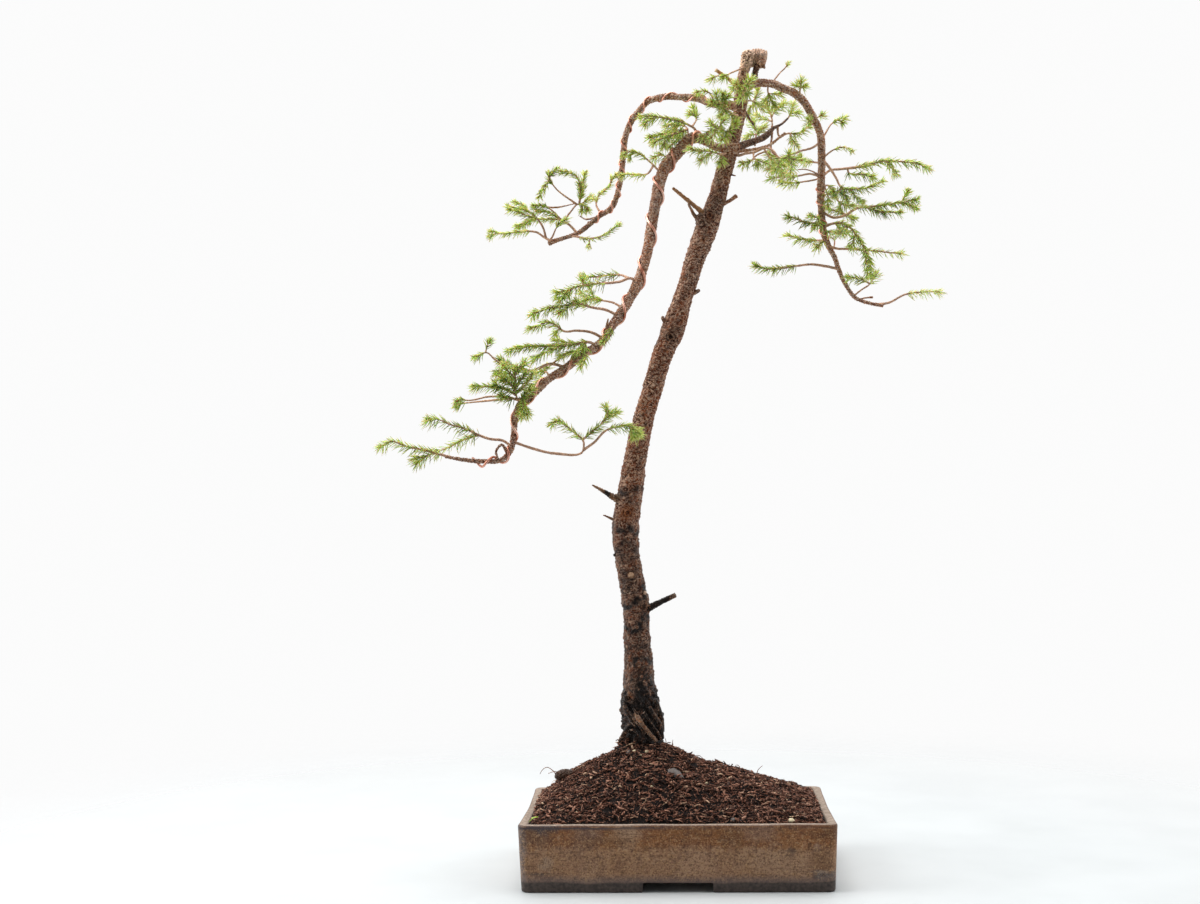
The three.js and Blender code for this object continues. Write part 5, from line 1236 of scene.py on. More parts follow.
# %% Pot dimensions from the frame
pot_low, pot_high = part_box("pot")
POT_LENGTH, POT_DEPTH, POT_HEIGHT = [(pot_high[k] - pot_low[k]) / MM for k in range(3)]
POT_SPREAD = 2  # how far each wall of the real pot stands outside the CAD model's straight one
POT_CORNER = 10  # radius of the upright edges
POT_SPLAY = 3.3  # how much further out a wall stands at the rim than below
POT_WALL = 10
FOOT_WIDTH = 14
FLOOR_TOP = 18
FOOT_HEIGHT = 11  # up to the floor, and of the notches
NOTCH_HALF = {"long": 38.5, "short": 30}  # half a notch's length
DRAIN_RADIUS = 11
DRAIN_OFFSET = 85  # from the pot's middle
print(f"pot {POT_LENGTH:.0f} x {POT_DEPTH:.0f} x {POT_HEIGHT:.0f} mm")

# %% [markdown]
# The glaze is thin. Its upper half stayed a clear ochre brown, and lower down it broke to a mauve brown,
# with a ragged border between them. All of it is speckled: ochre grains, dark pinholes, and short strokes
# that lie level, from the brush. It stops above the foot, where the bare clay is dark slate. A few clouds
# and stains sit where flames and neighbouring pots left them in the kiln. The rim and the inside are wiped,
# pale pinkish clay.

# %% Material: stoneware, glazed and fired
STAINS = [  # on the front: x, z, half width, half height in mm, colour, strength
    (-158, 68, 22, 16, "5f4636", 0.7), (-147, 73, 16, 8, "3c363c", 0.9), (-174, 42, 7, 70, "6a6260", 0.75),
    (-98, 62, 17, 13, "6e5448", 0.8), (-56, 65, 16, 14, "a5866c", 0.75), (-145, 32, 9, 8, "8a7360", 0.7),
    (90, 66, 20, 10, "7d6050", 0.7), (110, 34, 44, 16, "9a7a60", 0.6), (153, 50, 5, 5, "8e7465", 0.6),
    (126, 46, 6, 3.5, "403028", 0.75), (122, 40, 8, 3, "5a4236", 0.5), (158, 30, 14, 22, "664325", 0.6),
    (162, 19, 14, 6, "5d5654", 0.85), (157, 23, 12, 1.6, "837468", 0.6), (-154, 21, 16, 1.4, "403632", 0.7),
    (15, 66, 40, 9, "75491f", 0.5), (-78, 56, 34, 7, "6b4420", 0.5),
]
STAIN_REACH = 30  # how far back from the front wall a stain fades out, in mm
glaze, tree, where = new_material("stoneware_glazed_and_fired", IOR=1.5, Specular_IOR_Level=0.3)
height = add(tree, "ShaderNodeSeparateXYZ", {"Vector": where}, output="Z")
told = {name: add(tree, "ShaderNodeAttribute", output="Fac", attribute_name=name)
        for name in ("bare", "edge")}
speck, grit, blot, cloud = [
    add(tree, "ShaderNodeTexNoise", {"Vector": where, "Scale": 1 / (size * MM), "Detail": 4.0})
    for size in (1.7, 3.5, 9, 42)]
level = add(tree, "ShaderNodeMapping", {"Vector": where, "Scale": (0.12, 0.12, 1.0)})
stroke = add(tree, "ShaderNodeTexNoise", {"Vector": level, "Scale": 1 / (1.6 * MM), "Detail": 3.0})
# the height over the ground with noise added, so that a border drawn at one height wavers
ragged, soft = [
    add(tree, "ShaderNodeMath", {0: source, 1: reach * MM, 2: height}, operation="MULTIPLY_ADD")
    for source, reach in ((blot, 26), (cloud, 9))]
colour = add(tree, "ShaderNodeValToRGB", {"Fac": cloud}, stops=[
    (0.3, "60391b"), (0.45, "83522b"), (0.55, "73472a"), (0.7, "8a5830"),
])
mauve = add(tree, "ShaderNodeValToRGB", {"Fac": cloud}, stops=[
    (0.3, "72513b"), (0.45, "926d50"), (0.55, "82614a"), (0.7, "9c795e"),
])
colour = laid_over(
    tree, colour,
    (ragged, 0.067, 0.059, 1.0, mauve),  # the border between the two halves, 8 mm deep
    (blot, 0.56, 0.7, 0.5, "7a5a38"),
)
for x, z, half_width, half_height, tone, strength in STAINS:
    scaled = add(tree, "ShaderNodeMapping", {
        "Vector": where,
        "Location": (-x / half_width, POT_DEPTH / 2 / STAIN_REACH, -z / half_height),
        "Scale": (1 / (half_width * MM), 1 / (STAIN_REACH * MM), 1 / (half_height * MM)),
    })
    distance = add(tree, "ShaderNodeVectorMath", {0: scaled}, output="Value", operation="LENGTH")
    distance = add(tree, "ShaderNodeMath", {0: blot, 1: 1.6, 2: distance}, operation="MULTIPLY_ADD")
    share = add(tree, "ShaderNodeMapRange", {
        "Value": distance, "From Min": 1.3, "From Max": 2.1, "To Min": strength, "To Max": 0.0,
    })
    colour = add(tree, "ShaderNodeMix", {0: share, 6: colour, 7: tone}, output=2, data_type="RGBA")
colour = laid_over(
    tree, colour,
    (stroke, 0.46, 0.34, 0.45, "452c1a"),
    (stroke, 0.56, 0.68, 0.35, "9a7853"),
    (grit, 0.46, 0.33, 0.6, "4c3020"),
    (grit, 0.56, 0.68, 0.4, "b09070"),
    (speck, 0.45, 0.34, 0.75, "38210f"),  # pinholes, 1.7 mm across, drawn a little coarser than they are
    (speck, 0.56, 0.66, 0.7, "b08a60"),
    (soft, 0.0255, 0.0175, 0.6, "575052"),  # the glaze thins out over 8 mm
    (told["edge"], 0.0, 1.0, 1.0, "41383a"),
)
clay = add(tree, "ShaderNodeValToRGB", {"Fac": grit}, stops=[
    (0.35, "7d6d60"), (0.5, "938274"), (0.7, "aa998a"),
])
colour = add(tree, "ShaderNodeMix", {0: told["bare"], 6: colour, 7: clay}, output=2, data_type="RGBA")
foot_clay = add(tree, "ShaderNodeValToRGB", {"Fac": grit}, stops=[(0.35, "2f2825"), (0.65, "4a403b")])
colour = laid_over(tree, colour, (soft, 0.017, 0.015, 0.95, foot_clay))  # the bare foot
finish_surface(
    tree, bump=(speck, 0.25, 0.7), Base_Color=colour,
    Roughness=add(tree, "ShaderNodeMapRange", {"Value": told["bare"], "To Min": 0.5, "To Max": 0.8}))
print("glaze:", len(tree.nodes), "nodes")

# %% [markdown]
# A rounded rectangle is four straight sides and four quarter circles. A walk round it lists, for each
# column of the mesh, where the corner's centre is and which way is out. Any ring of the pot, large or small,
# is then the same walk with another inset and height.

# %% A walk round the pot
POT_COLUMNS = (110, 76, 7)  # along a long side, a short side and a corner


def walk_round(columns_long, columns_short, columns_corner):
    """A walk round a rectangle: for each column, the corner centre and the outward direction.

    The corner centre is given as shares in x and y from -1 to 1, which move along a side between its two
    corners. Extra columns stand close by the sides of each notch.
    """
    quarter = np.linspace(0, np.pi / 2, columns_corner)
    corners = np.array([[1, -1], [1, 1], [-1, 1], [-1, -1]])
    columns = []
    for side in range(4):
        here, there = corners[side], corners[(side + 1) % 4]
        count, half, notch = (
            (columns_long, POT_LENGTH / 2, NOTCH_HALF["long"]) if side % 2
            else (columns_short, POT_DEPTH / 2, NOTCH_HALF["short"]))
        near = (notch + np.array([-1.2, -0.5, 0.1, 0.8])) / (half - POT_CORNER)
        share = np.sort(np.concatenate([np.linspace(-1, 1, count + 2)[1:-1], near, -near]))[:, None]
        straight = (here + there) / 2 + (there - here) / 2 * share
        facing = side * np.pi / 2
        outward = np.tile([np.cos(facing), np.sin(facing)], (len(share), 1))
        columns.append(np.column_stack([straight, outward]))
        turn = facing + quarter
        columns.append(np.column_stack([np.tile(there, (len(turn), 1)), np.cos(turn), np.sin(turn)]))
    return np.concatenate(columns)


def pot_ring(inset, height, walk):
    """Points round the pot at one inset and height: the corner centre plus the corner radius outward.

    The corner radius shrinks with the inset, down to 2 mm, and everything is scaled in by the splay.
    """
    corner = max(POT_CORNER - inset, 2.0)
    splay = POT_SPLAY * (1 - height / POT_HEIGHT) - POT_SPREAD
    x = (walk[:, 0] * (POT_LENGTH / 2 - inset - corner) + corner * walk[:, 2]) * (1 - 2 * splay / POT_LENGTH)
    y = (walk[:, 1] * (POT_DEPTH / 2 - inset - corner) + corner * walk[:, 3]) * (1 - 2 * splay / POT_DEPTH)
    return np.column_stack([x, y, np.full(len(walk), float(height))])


print("columns round the pot:", len(walk_round(*POT_COLUMNS)))

# %% [markdown]
# The profile runs up the outside, over the rim, down the inside and back under the foot, as pairs of inset
# and height. Edges are rounded by two millimetres, as a wet sponge leaves them.

# %% Profile of the wall
ROUND = 2.2  # edge rounding of the rim
FOOT_ROUND = 2.0
quarter = np.linspace(0, np.pi / 2, 6)
outer_foot = FOOT_ROUND * np.column_stack([1 - np.sin(quarter), 1 - np.cos(quarter)])
outer_wall = np.column_stack([np.zeros(26), np.linspace(3, POT_HEIGHT - ROUND - 1, 26)])
outer_rim = np.column_stack([ROUND - ROUND * np.cos(quarter), POT_HEIGHT - ROUND + ROUND * np.sin(quarter)])
inner_rim = np.column_stack([POT_WALL - ROUND + ROUND * np.sin(quarter),
                             POT_HEIGHT - ROUND + ROUND * np.cos(quarter)])
inner_wall = np.column_stack([np.full(8, POT_WALL), np.linspace(POT_HEIGHT - 6, FLOOR_TOP - 2, 8)])
foot_back = np.array([
    [FOOT_WIDTH, FLOOR_TOP - 4], [FOOT_WIDTH, FOOT_HEIGHT + 0.5], [FOOT_WIDTH, 0.6], [FOOT_WIDTH - 0.6, 0]])
profile = np.concatenate([outer_foot, outer_wall, outer_rim, inner_rim, inner_wall, foot_back])
walk = walk_round(*POT_COLUMNS)
grid = np.stack([pot_ring(inset, height, walk) for inset, height in profile])
print("grid of the wall:", grid.shape)

# %% [markdown]
# Now the even shape is spoilt, as hands and fire do: notches are cut into the foot, the sides bow and pull
# in, and the rim wavers.

# %% Notches and hand work
# the foot is cut away between the notch's two sides, over half a millimetre
along_long = np.abs(grid[..., 0]) - NOTCH_HALF["long"]
along_short = np.abs(grid[..., 1]) - NOTCH_HALF["short"]
on_long = np.abs(walk[:, 3]) > 0.9
past_notch = np.where(on_long, along_long, along_short)
notch = FOOT_HEIGHT * smooth_rise(-past_notch, -0.8, 0.4)
grid[..., 2] = np.maximum(grid[..., 2], notch * (grid[..., 2] < FOOT_HEIGHT))

# hand work: the long sides bow by half a millimetre, and the short sides are drawn in between their
# corners, by up to PINCH at the rim. The rim rises and dips by a third of a millimetre
PINCH = {"left": 3.0, "right": 2.4}
share_up = grid[..., 2] / POT_HEIGHT
bow = drift(grid * [1, 1, 0.6], 150, 31)
lift = drift(grid * [1, 1, 0], 90, 32) * share_up
pinch = np.where(grid[..., 0] < 0, PINCH["left"], -PINCH["right"])
pinch = pinch * share_up**2 * np.clip(np.abs(grid[..., 0]) / (POT_LENGTH / 2) * 2 - 1, 0, 1)
grid[..., 0] += pinch * (1 - (grid[..., 1] / (POT_DEPTH / 2)) ** 2)
grid[..., :2] += unit(grid[..., :2]) * np.clip(bow * 0.5, -0.6, 0.5)[..., None]
grid[..., 2] += 0.35 * lift - 0.35 * share_up
print("highest point of the rim:", round(float(grid[..., 2].max()), 1), "mm")

# %% [markdown]
# The glaze reads two numbers from the mesh: where the clay is bare, which is the rim and the inside, and
# where the dark line under the rim runs, thick on the left and thin on the right.

# %% Bare clay, the line under the rim, and the wall
rows, columns = grid.shape[:2]
inset, height_up = [np.repeat(values, columns) for values in profile.T]
bare = smooth_rise(inset, 1.0, 1.8) * (height_up > 30) + (inset >= POT_WALL)
points = grid.reshape(-1, 3)
thick_line = 1 - 0.7 * smooth_rise(points[:, 0] + 22 * drift(points, 40, 33), -110, 40)
line_depth = POT_HEIGHT - 1.6 - height_up + 0.6 * drift(points, 17, 34)
line = smooth_rise(line_depth, -0.6, 0.4) * smooth_rise(-line_depth, -3.4, -1.8)
edge = 0.95 * thick_line * line * (inset < 2)
edge = np.maximum(edge, 0.75 * np.exp(-((inset - 0.8) / 0.5) ** 2) * (height_up > POT_HEIGHT - 3))
make_piece("pot_wall", *closed_ring(grid), glaze, "glazed_pot", ["pot"], bare=np.clip(bare, 0, 1), edge=edge)

# %% [markdown]
# The floor is a slab between the walls with two drain holes. Each half of it is again one closed profile,
# carried round its drain hole: along the top to the hole, down through it, and back underneath.

# %% Pot floor
def floor_half(side):
    """Half the floor, as rows from the outline to a drain hole and back: hole + share * (outline - hole)."""
    angle = np.linspace(0, TURN, 72, endpoint=False)
    inner, outer = DRAIN_OFFSET, POT_LENGTH / 2 - FOOT_WIDTH + 2 - DRAIN_OFFSET
    half_x = np.where(np.cos(angle) * side > 0, outer, inner)
    half_y = POT_DEPTH / 2 - FOOT_WIDTH + 2
    reach = np.minimum(half_x / np.abs(np.cos(angle) + 1e-9), half_y / np.abs(np.sin(angle) + 1e-9))
    share = np.array([1, 0.6, 0.25, 0.02, 0, 0, 0.02, 0.25, 0.6, 1])[:, None]
    height = np.array([1, 1, 1, 1, 0.85, 0.15, 0, 0, 0, 0])[:, None]
    distance = DRAIN_RADIUS + share * (reach - DRAIN_RADIUS)
    x = side * DRAIN_OFFSET + distance * np.cos(angle)
    z = FOOT_HEIGHT + 0.1 + height * (FLOOR_TOP - FOOT_HEIGHT - 0.1)
    return np.stack([x, distance * np.sin(angle), np.broadcast_to(z, x.shape)], axis=-1)


for name, side in (("left", -1), ("right", 1)):
    grid = floor_half(side)
    bare = np.full(grid.shape[0] * grid.shape[1], 1.0)
    make_piece(f"pot_floor_{name}", *closed_ring(grid), glaze, "glazed_pot", flat=True, bare=bare,
               edge=0 * bare)

# %% [markdown]
# Under the soil a plastic net lies over each drain hole. It is a CAD part whose shape is right as it is, so
# it only gets its material: black moulded polyethylene, a little glossy.

# %% Material: polyethylene, moulded
net, tree, where = new_material("polyethylene_moulded", Roughness=0.5, IOR=1.51)
flow, pits = [
    add(tree, "ShaderNodeTexNoise", {"Vector": where, "Scale": 1 / (size * MM), "Detail": 2.0})
    for size in (3, 0.8)]
finish_surface(tree, bump=(pits, 0.1, 0.8), Base_Color=add(
    tree, "ShaderNodeValToRGB", {"Fac": flow}, stops=[(0.3, "171817"), (0.7, "242523")]))
for name in ("drain_screen_left", "drain_screen_right"):
    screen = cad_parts[name]
    screen.data.materials.clear()
    screen.data.materials.append(net)

# %% [markdown]
# ## Soil
# The pot is filled with a coarse mix, mostly shredded bark with a few clay grains, heaped against the trunk
# by hand. What the eye sees is thousands of reddish-brown chips with black gaps between them. A nearly black
# body of soil, dark partly as moist soil and partly as painted shade for the gaps, gives the mound its shape,
# and loose chips, crumbs and fibres are strewn over it as real pieces.

# %% The mound
SOIL_EDGE = 72  # height of the soil at the walls
MOUND = [  # its crest: x, and height over SOIL_EDGE
    (-165, 3), (-150, 21), (-120, 41), (-90, 55), (-64, 68), (-39, 78),
    (-14, 72.5), (22, 55), (60, 43.5), (85, 36), (110, 29.5), (145, 16), (165, 2),
]
HEAP = (-61, -10, 15, 11)  # soil drawn up left of the trunk: x, y, height and half width in mm
INSIDE = (POT_LENGTH / 2 - POT_WALL - 0.5, POT_DEPTH / 2 - POT_WALL - 0.5)


def mound_height(x, y):
    """Height of the soil: crest along the pot * (1 - |y share|^1.7), softened, plus the heap and lumps."""
    stations, crest = np.array(MOUND, float).T
    crest = sum(np.interp(x + shift, stations, crest) for shift in (-9, -4.5, 0, 4.5, 9)) / 5
    across_pot = np.clip(np.abs(y) / (POT_DEPTH / 2 - POT_WALL), 0, 1)
    height = SOIL_EDGE + crest * (1 - across_pot**1.7)
    flat = np.stack(np.broadcast_arrays(x, y, 0 * x), axis=-1)
    inside = 1 - np.clip(np.maximum(np.abs(x) / INSIDE[0], np.abs(y) / INSIDE[1]), 0, 1) ** 12
    heap_x, heap_y, heap_height, half_width = HEAP
    heap = heap_height * np.exp(-((x - heap_x) ** 2 + (y - heap_y) ** 2) / half_width**2)
    return height + heap + inside * (1.6 * drift(flat, 38, 41) + 0.9 * drift(flat, 12, 42))


print("top of the mound:", round(float(mound_height(np.array(-39.0), np.array(0.0))), 1), "mm")

# %% [markdown]
# The mound's surface is a grid over the pot's inside, with small clods from the cells. A skirt and one point
# below close it. Hardly any of it shows, because the chips cover it.

# %% Mound surface and material: potting soil, moist
columns_x, columns_y = 168, 116
share_x, share_y = np.meshgrid(np.linspace(-1, 1, columns_x), np.linspace(-1, 1, columns_y))
splay = 1 - POT_SPLAY * (1 - SOIL_EDGE / POT_HEIGHT) / (POT_DEPTH / 2)
x, y = share_x * INSIDE[0] * splay, share_y * INSIDE[1] * splay
z = mound_height(x, y)
flat = np.stack([x, y, z], axis=-1)
value, border = cells(flat, 5.0, 43)
z = z + 1.4 * value - 1.6 + 0.8 * smooth_rise(border, 0, 0.3)


def lidded_grid(x, y, z, depth):
    """A rectangular grid, a skirt from its rim down to the height depth, and one point under it all."""
    rows, columns = z.shape
    top = np.stack([x, y, z], axis=-1).reshape(-1, 3)
    row, column = np.meshgrid(np.arange(rows - 1), np.arange(columns - 1), indexing="ij")
    here = (row * columns + column).ravel()
    sheet = np.stack([here, here + 1, here + columns + 1, here + columns], axis=1)
    border = np.concatenate([
        np.arange(columns), np.arange(1, rows) * columns + columns - 1,
        (rows - 1) * columns + np.arange(columns - 2, -1, -1), np.arange(rows - 2, 0, -1) * columns])
    low = top[border] * [1, 1, 0] + [0, 0, depth]
    ring = len(top) + np.arange(len(border))
    skirt = np.stack([border, ring, np.roll(ring, -1), np.roll(border, -1)], axis=1)
    middle = len(top) + len(border)
    bottom = np.stack([np.full(len(border), middle), np.roll(ring, -1), ring], axis=1)
    return np.concatenate([top, low, [[0, 0, depth]]]), [sheet, skirt, bottom]


# potting soil, crumbled and moist, made nearly black and dull: partly its own moist colour and partly painted
# shade, so that it reads as the shaded gaps between the chips
soil, tree, where = new_material("potting_soil_moist_and_gap_shade", Roughness=0.95, IOR=1.4)
clods, dust = [
    add(tree, "ShaderNodeTexNoise", {"Vector": where, "Scale": 1 / (size * MM), "Detail": 4.0})
    for size in (3, 1.5)]
finish_surface(tree, bump=(dust, 1.2, 0.8), Base_Color=add(
    tree, "ShaderNodeValToRGB", {"Fac": clods}, stops=[(0.3, "070403"), (0.55, "150c09"), (0.8, "33211b")]))
make_piece("soil_mound", *lidded_grid(x, y, z, depth=40.0), soil, "soil", ["soil"])

# %% [markdown]
# Chips are splinters, bent and uneven in width, as strips of four rings. They lie along the slope of the
# mound with a random tilt, and more thickly than one layer. Slivers and crumbs are the same shape, shorter
# and with fewer rings. Fibres are long, thin and curled.

# %% Splinters strewn on the mound
random = np.random.default_rng(19)


def strewn(count, reach=0.985):
    """Random places on the mound, with the upward direction of its slope at each."""
    x = random.uniform(-reach, reach, count) * INSIDE[0]
    y = random.uniform(-reach, reach, count) * INSIDE[1]
    z = mound_height(x, y)
    slope_x = (mound_height(x + 1.5, y) - mound_height(x - 1.5, y)) / 3
    slope_y = (mound_height(x, y + 1.5) - mound_height(x, y - 1.5)) / 3
    return np.stack([x, y, z], axis=1), unit(np.stack([-slope_x, -slope_y, np.ones(count)], axis=1))


def splinters(count, length, width, thickness, lift, tilt, rings=3, curl=0.25):
    """Strewn bars. middle line = place + s * length * heading + curl * length * (s^2 - 1/4) * bend.

    s runs from -1/2 to 1/2. The heading lies on the slope, tilted by a random angle and then turned half
    way back to level, as splinters settle.
    """
    place, up = strewn(count)
    heading = unit(np.cross(up, random.normal(size=(count, 3))))
    heading = unit((heading + up * random.normal(0, tilt, (count, 1))) * [1, 1, 0.5])
    side = unit(np.cross(up + random.normal(0, 0.35, (count, 3)), heading))
    face = np.cross(heading, side)
    size = random.uniform(*length, count)[:, None, None]
    bend = unit(random.normal(size=(count, 3)))[:, None]
    s = np.linspace(-0.5, 0.5, rings)[None, :, None]
    centres = (place + up * random.uniform(*lift, count)[:, None])[:, None]
    centres = centres + s * size * heading[:, None] + curl * size * (s**2 - 0.25) * bend
    taper = 1 - 0.75 * np.abs(2 * s) ** 2 * random.uniform(0.3, 1, (count, rings, 1))
    wide = side[:, None] * taper * random.uniform(*width, count)[:, None, None] / 2
    thick = face[:, None] * taper * random.uniform(*thickness, count)[:, None, None]
    return centres, wide, thick


def strew(name, material, tones, **kind):
    """Makes one piece of many splinters, each with a tone of its own."""
    centres, wide, thick = splinters(**kind)
    vertices, faces = strips(centres, wide, thick)
    tone = np.repeat(random.uniform(*tones, len(centres)), centres.shape[1] * 3)
    wall = np.array([INSIDE[0] - 0.3, INSIDE[1] - 0.3])
    vertices[:, :2] = np.clip(vertices[:, :2], -wall, wall)
    make_piece(name, vertices, faces, material, "soil", flat=True, tone=tone)


print("the soil's inside is", np.round(np.multiply(INSIDE, 2), 1), "mm")

# %% [markdown]
# Bark chips are pine, torn rather than cut. They range from nearly black, where they are wet, to a dry
# pinkish tan, so each splinter has a tone of its own, and the pores and the grain lie over that.

# %% Material: pine bark, shredded
# torn fibres, dull and reddish brown, with dark pores and paler streaks 1.8 mm wide
chips, tree, where = new_material("pine_bark_shredded", Roughness=0.75, IOR=1.45, Specular_IOR_Level=0.3)
tone = add(tree, "ShaderNodeAttribute", output="Fac", attribute_name="tone")
fibre, dust = [
    add(tree, "ShaderNodeTexNoise", {"Vector": where, "Scale": 1 / (size * MM), "Detail": 3.0})
    for size in (1.8, 0.7)]
colour = add(tree, "ShaderNodeValToRGB", {"Fac": tone}, stops=[
    (0.0, "160a06"), (0.25, "3f2318"), (0.5, "683e2d"), (0.75, "8f5e49"), (0.93, "b78872"), (1.0, "e0bd9c"),
])
colour = laid_over(tree, colour, (fibre, 0.52, 0.38, 0.8, "140a07"), (fibre, 0.58, 0.68, 0.6, "c09a84"))
finish_surface(tree, bump=(dust, 0.4, 0.8), Base_Color=colour)
print("pine bark:", len(tree.nodes), "nodes")

# %% Chips, slivers, crumbs and fibres
strew("bark_chips", chips, (0.1, 1), count=3600, length=(5, 12), width=(1.2, 3.4), thickness=(0.8, 1.7),
      lift=(-0.8, 3.0), tilt=0.4, rings=4, curl=0.6)
strew("bark_slivers", chips, (0, 0.97), count=7200, length=(2.5, 7), width=(0.8, 2.1), thickness=(0.6, 1.3),
      lift=(-0.8, 2.8), tilt=0.45, curl=0.6)
strew("bark_crumbs", chips, (0, 0.9), count=9000, length=(1.0, 2.8), width=(0.7, 1.8), thickness=(0.6, 1.3),
      lift=(-0.5, 2.4), tilt=0.5, rings=2)
strew("bark_fibres", chips, (0.5, 1), count=640, length=(6, 16), width=(0.5, 1.1), thickness=(0.4, 0.8),
      lift=(0.8, 2.8), tilt=0.2, rings=7, curl=1.0)

# %% [markdown]
# A few single things lie on the mound too: a cream pumice pebble and a bluish one by the front rim, pale
# crumbs at the foot of the trunk, a wide grey flake, a blade of grass, a dark root end that sticks out on
# the left with fine hairs, and some dry hairs beside the trunk.

# %% Single finds on the soil
PEBBLES = [  # x, y, height over the soil, radius in mm, tone
    (126, -107, 1.0, 3.2, 1.0), (62, -107, 0.5, 3.0, 0.1), (69, -108, 0, 2.2, 0.0),
    (-49, -30, 1.5, 2.2, 0.9), (-34, -30, 1.0, 2.4, 0.75), (-41, -34, 0.8, 1.6, 0.85),
    (-52, -38, 0.6, 1.6, 0.8), (-55, -26, 1.2, 3.4, 0.1), (-28, -78, 0.8, 1.6, 0.85),
    (34, -60, 0.8, 1.5, 0.8), (88, -88, 0.8, 1.4, 0.85), (-112, -96, 0.8, 1.4, 0.7),
]
HAIRS = read_routes("""
long_on_root_end: -141,-5,111,0.7 -146,-6,117,0.5 -152,-6,120,0.45 -158,-6,116,0.4 -160,-6,112,0.3
short_on_root_end: -137,-8,113,0.6 -142,-12,116,0.45 -150,-13,114,0.3
by_trunk: -5,-10,138,0.6 -5,-11,145,0.5 -4,-12,152,0.35
by_trunk_left: -14,-9,143,0.6 -12,-10,149,0.5 -13,-11,154,0.3
on_right: 93,0,108,0.6 95,-1,115,0.45 100,-2,120,0.3
tan_fibre_on_left: -116,-62,98,0.7 -121,-68,96,0.8 -120,-76,92,0.8 -127,-84,88,0.8 -136,-88,85,0.6
""")
ROOT_END = [(-118, -3, 106, 4.2), (-126, -4, 111, 6.2), (-134, -5, 111, 6.4), (-143, -6, 108, 4.2)]
BLADE = [(-166, -96, 73), (-161, -96, 78), (-155, -96, 79)]
print(len(PEBBLES), "pebbles and", len(HAIRS), "hairs")

# %% Pebbles and hairs
def pebble(x, y, lift, radius, tone):
    """A squashed ball: rings of radius * sqrt(1 - t^2) at height 0.8 * radius * t, made uneven by drift."""
    t = np.sin(np.linspace(-1.45, 1.45, 9))[:, None]
    centres = np.array([x, y, mound_height(np.array(x), np.array(y)) + lift]) + 0.8 * radius * t * [0, 0, 1]
    rings = sweep(centres, radius * np.sqrt(1 - t**2), 14)
    rings += unit(rings - centres.mean(axis=0)) * radius * 0.14 * drift(rings, radius * 2.2, 51)[..., None]
    vertices, faces = closed_tube(rings)
    return vertices, faces, np.full(len(vertices), tone)


# pumice and baked clay, sieved: dull and porous, grey to cream, with brown dust in pores of 1.2 mm
stone, tree, where = new_material("pumice_and_clay_grains", Roughness=0.85, IOR=1.5)
tone = add(tree, "ShaderNodeAttribute", output="Fac", attribute_name="tone")
pores = add(tree, "ShaderNodeTexNoise", {"Vector": where, "Scale": 1 / (1.2 * MM), "Detail": 3.0})
colour = add(tree, "ShaderNodeValToRGB", {"Fac": tone}, stops=[
    (0.0, "4c5058"), (0.5, "a08668"), (1.0, "f0e2bc"),
])
colour = laid_over(tree, colour, (pores, 0.5, 0.3, 0.6, "6d5540"))
finish_surface(tree, bump=(pores, 0.4, 0.8), Base_Color=colour)
stones = [pebble(*facts) for facts in PEBBLES]
vertices, faces = gather([each[:2] for each in stones])
make_piece("pebbles", vertices, faces, stone, "soil", tone=np.concatenate([each[2] for each in stones]))

parts, numbers = [], []
for stations in HAIRS.values():
    path, _ = smooth_path(stations, 0.8)
    parts.append(closed_tube(sweep(path[:, :3], path[:, 3:], 6)))
    numbers.append(np.full(len(parts[-1][0]), 0.85))
vertices, faces = gather(parts)
make_piece("hairs", vertices, faces, chips, "soil", tone=np.concatenate(numbers))

# %% Root end, blade of grass and grey flake
vertices, faces, marks = limb(ROOT_END, 0.8, 36, 3.0, 1.6, 160, round_end=1.0)
root_marks = bark_marks(vertices, marks, 0.1)
make_piece("root_end", vertices, faces, bark, "bark", **{**root_marks, "wet": 0.75 + 0 * root_marks["wet"]})

path, _ = smooth_path(BLADE, 0.6)
share = np.linspace(-1, 1, len(path))[None, :, None]
wide = np.array([0.0, 0.75, 0.65]) * (1 - 0.85 * share**2)
vertices, faces = strips(path[None], wide, np.cross(wide, [1.0, 0.0, 0.0]) * 0.4)
flake_x, flake_y = np.array([-10.0, -3, 4, 8]), np.full(4, -59.0)
flake_path = np.column_stack([flake_x, flake_y, mound_height(flake_x, flake_y) + [2.0, 4.0, 3.5, 2.0]])
flake, flake_faces = strips(
    flake_path[None], np.array([[(0, 2.5, 2.5), (0, 4, 4.5), (0, 4, 4.5), (0, 1.5, 1.5)]]),
    np.array([[(0, -0.8, 0.6)] * 4]))
make_piece("grass_blade", vertices, faces, needle_green, "needles", flat=True,
           fresh=np.full(len(vertices), 0.7), tip=np.zeros(len(vertices)))
make_piece("grey_flake", flake, flake_faces, stone, "soil", flat=True, tone=np.full(len(flake), 0.1))

# %% [markdown]
# ## Stage
# The tree stands in a white cove: a pale floor that fades into a white surround, so no horizon cuts behind
# it. The walls behind and beside it send back more light than the open side that the viewer looks from.
# That leaves the middle of the trunk a little darker than its two edges. A large soft lamp overhead picks
# out whatever lies level. Two weaker ones at the sides, the left one the stronger, add some form.

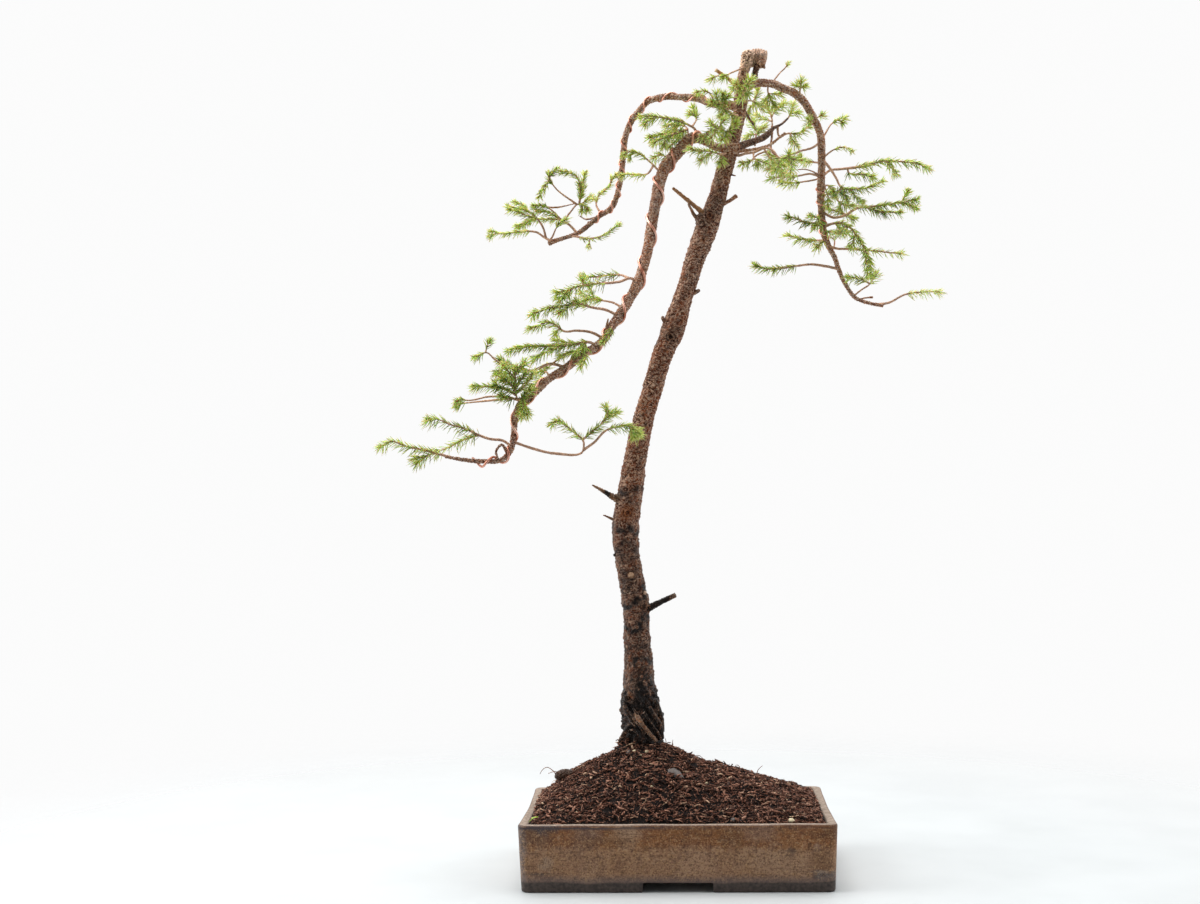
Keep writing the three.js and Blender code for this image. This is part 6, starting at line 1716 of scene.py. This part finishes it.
# %% Floor
# a board painted white with a roller: pale, dull and very slightly cloudy
board_white, tree, where = new_material("floor_board_painted_white", Roughness=0.6)
board = add(tree, "ShaderNodeTexNoise", {"Vector": where, "Scale": 1 / (160 * MM), "Detail": 3.0})
finish_surface(tree, Base_Color=add(tree, "ShaderNodeValToRGB", {"Fac": board}, stops=[
    (0.35, "c4c8c9"), (0.65, "cacecf"),
]))
distance = add(tree, "ShaderNodeVectorMath", {0: where}, output="Value", operation="LENGTH")
fade = add(tree, "ShaderNodeMapRange", {"Value": distance, "From Min": 0.35, "From Max": 1.3},
           interpolation_type="SMOOTHSTEP")
clear = add(tree, "ShaderNodeBsdfTransparent")
painted = tree.nodes["Principled BSDF"].outputs[0]
blend = add(tree, "ShaderNodeMixShader", {0: fade, 1: painted, 2: clear})
tree.links.new(blend, tree.nodes["Material Output"].inputs["Surface"])
floor_mesh = bpy.data.meshes.new("floor")
floor_mesh.from_pydata([(-3, -3, 0), (3, -3, 0), (3, 3, 0), (-3, 3, 0)], [], [(0, 1, 2, 3)])
floor_mesh.materials.append(board_white)
floor = bpy.data.objects.new("floor", floor_mesh)
bpy.context.collection.objects.link(floor)
print("floor laid")

# %% Surround
BACK_LIGHT, FRONT_LIGHT = 1.08, 0.25  # light from the walls behind and beside, and from the open side
WALL_SEEN = 0.97  # how bright the walls themselves look, a little short of white
surround = bpy.data.worlds.new("surround")
bpy.context.scene.world = surround
surround.use_nodes = True
tree = surround.node_tree
towards = add(tree, "ShaderNodeTexCoord", output="Generated")
depth = add(tree, "ShaderNodeSeparateXYZ", {"Vector": towards}, output="Y")
glow = add(tree, "ShaderNodeMapRange", {
    "Value": depth, "From Min": -0.9, "From Max": 0.3, "To Min": FRONT_LIGHT, "To Max": BACK_LIGHT,
}, interpolation_type="SMOOTHSTEP")
seen = add(tree, "ShaderNodeLightPath", output="Is Camera Ray")
strength = add(tree, "ShaderNodeMix", {0: seen, 2: glow, 3: WALL_SEEN}, data_type="FLOAT")
background = tree.nodes["Background"]
background.inputs["Color"].default_value = linear("ffffff")
tree.links.new(strength, background.inputs["Strength"])
print("light from", FRONT_LIGHT, "in front to", BACK_LIGHT, "behind")

# %% Lamps
def lamp(name, place, aim, size, watts):
    """A square area lamp at a place in metres, turned so that it shines at a point."""
    light = bpy.data.lights.new(name, "AREA")
    light.size, light.energy = size, watts
    holder = bpy.data.objects.new(name, light)
    bpy.context.collection.objects.link(holder)
    away = unit(np.array(place) - np.array(aim))
    right = unit(np.cross([0, 0, 1], away))
    up = np.cross(away, right)
    holder.matrix_world = Matrix(np.vstack([
        np.column_stack([right, up, away, place]), [0, 0, 0, 1]]).tolist())


lamp("ceiling", (-0.2, 0.1, 2.5), (0, 0, 0.4), 1.6, 40)
lamp("key", (-1.8, -0.3, 1.5), (0, 0, 0.5), 1.2, 24)
lamp("fill", (1.8, -0.1, 1.3), (0, 0, 0.5), 1.4, 9)
bpy.context.scene.view_settings.view_transform = "Standard"
print("stage set")
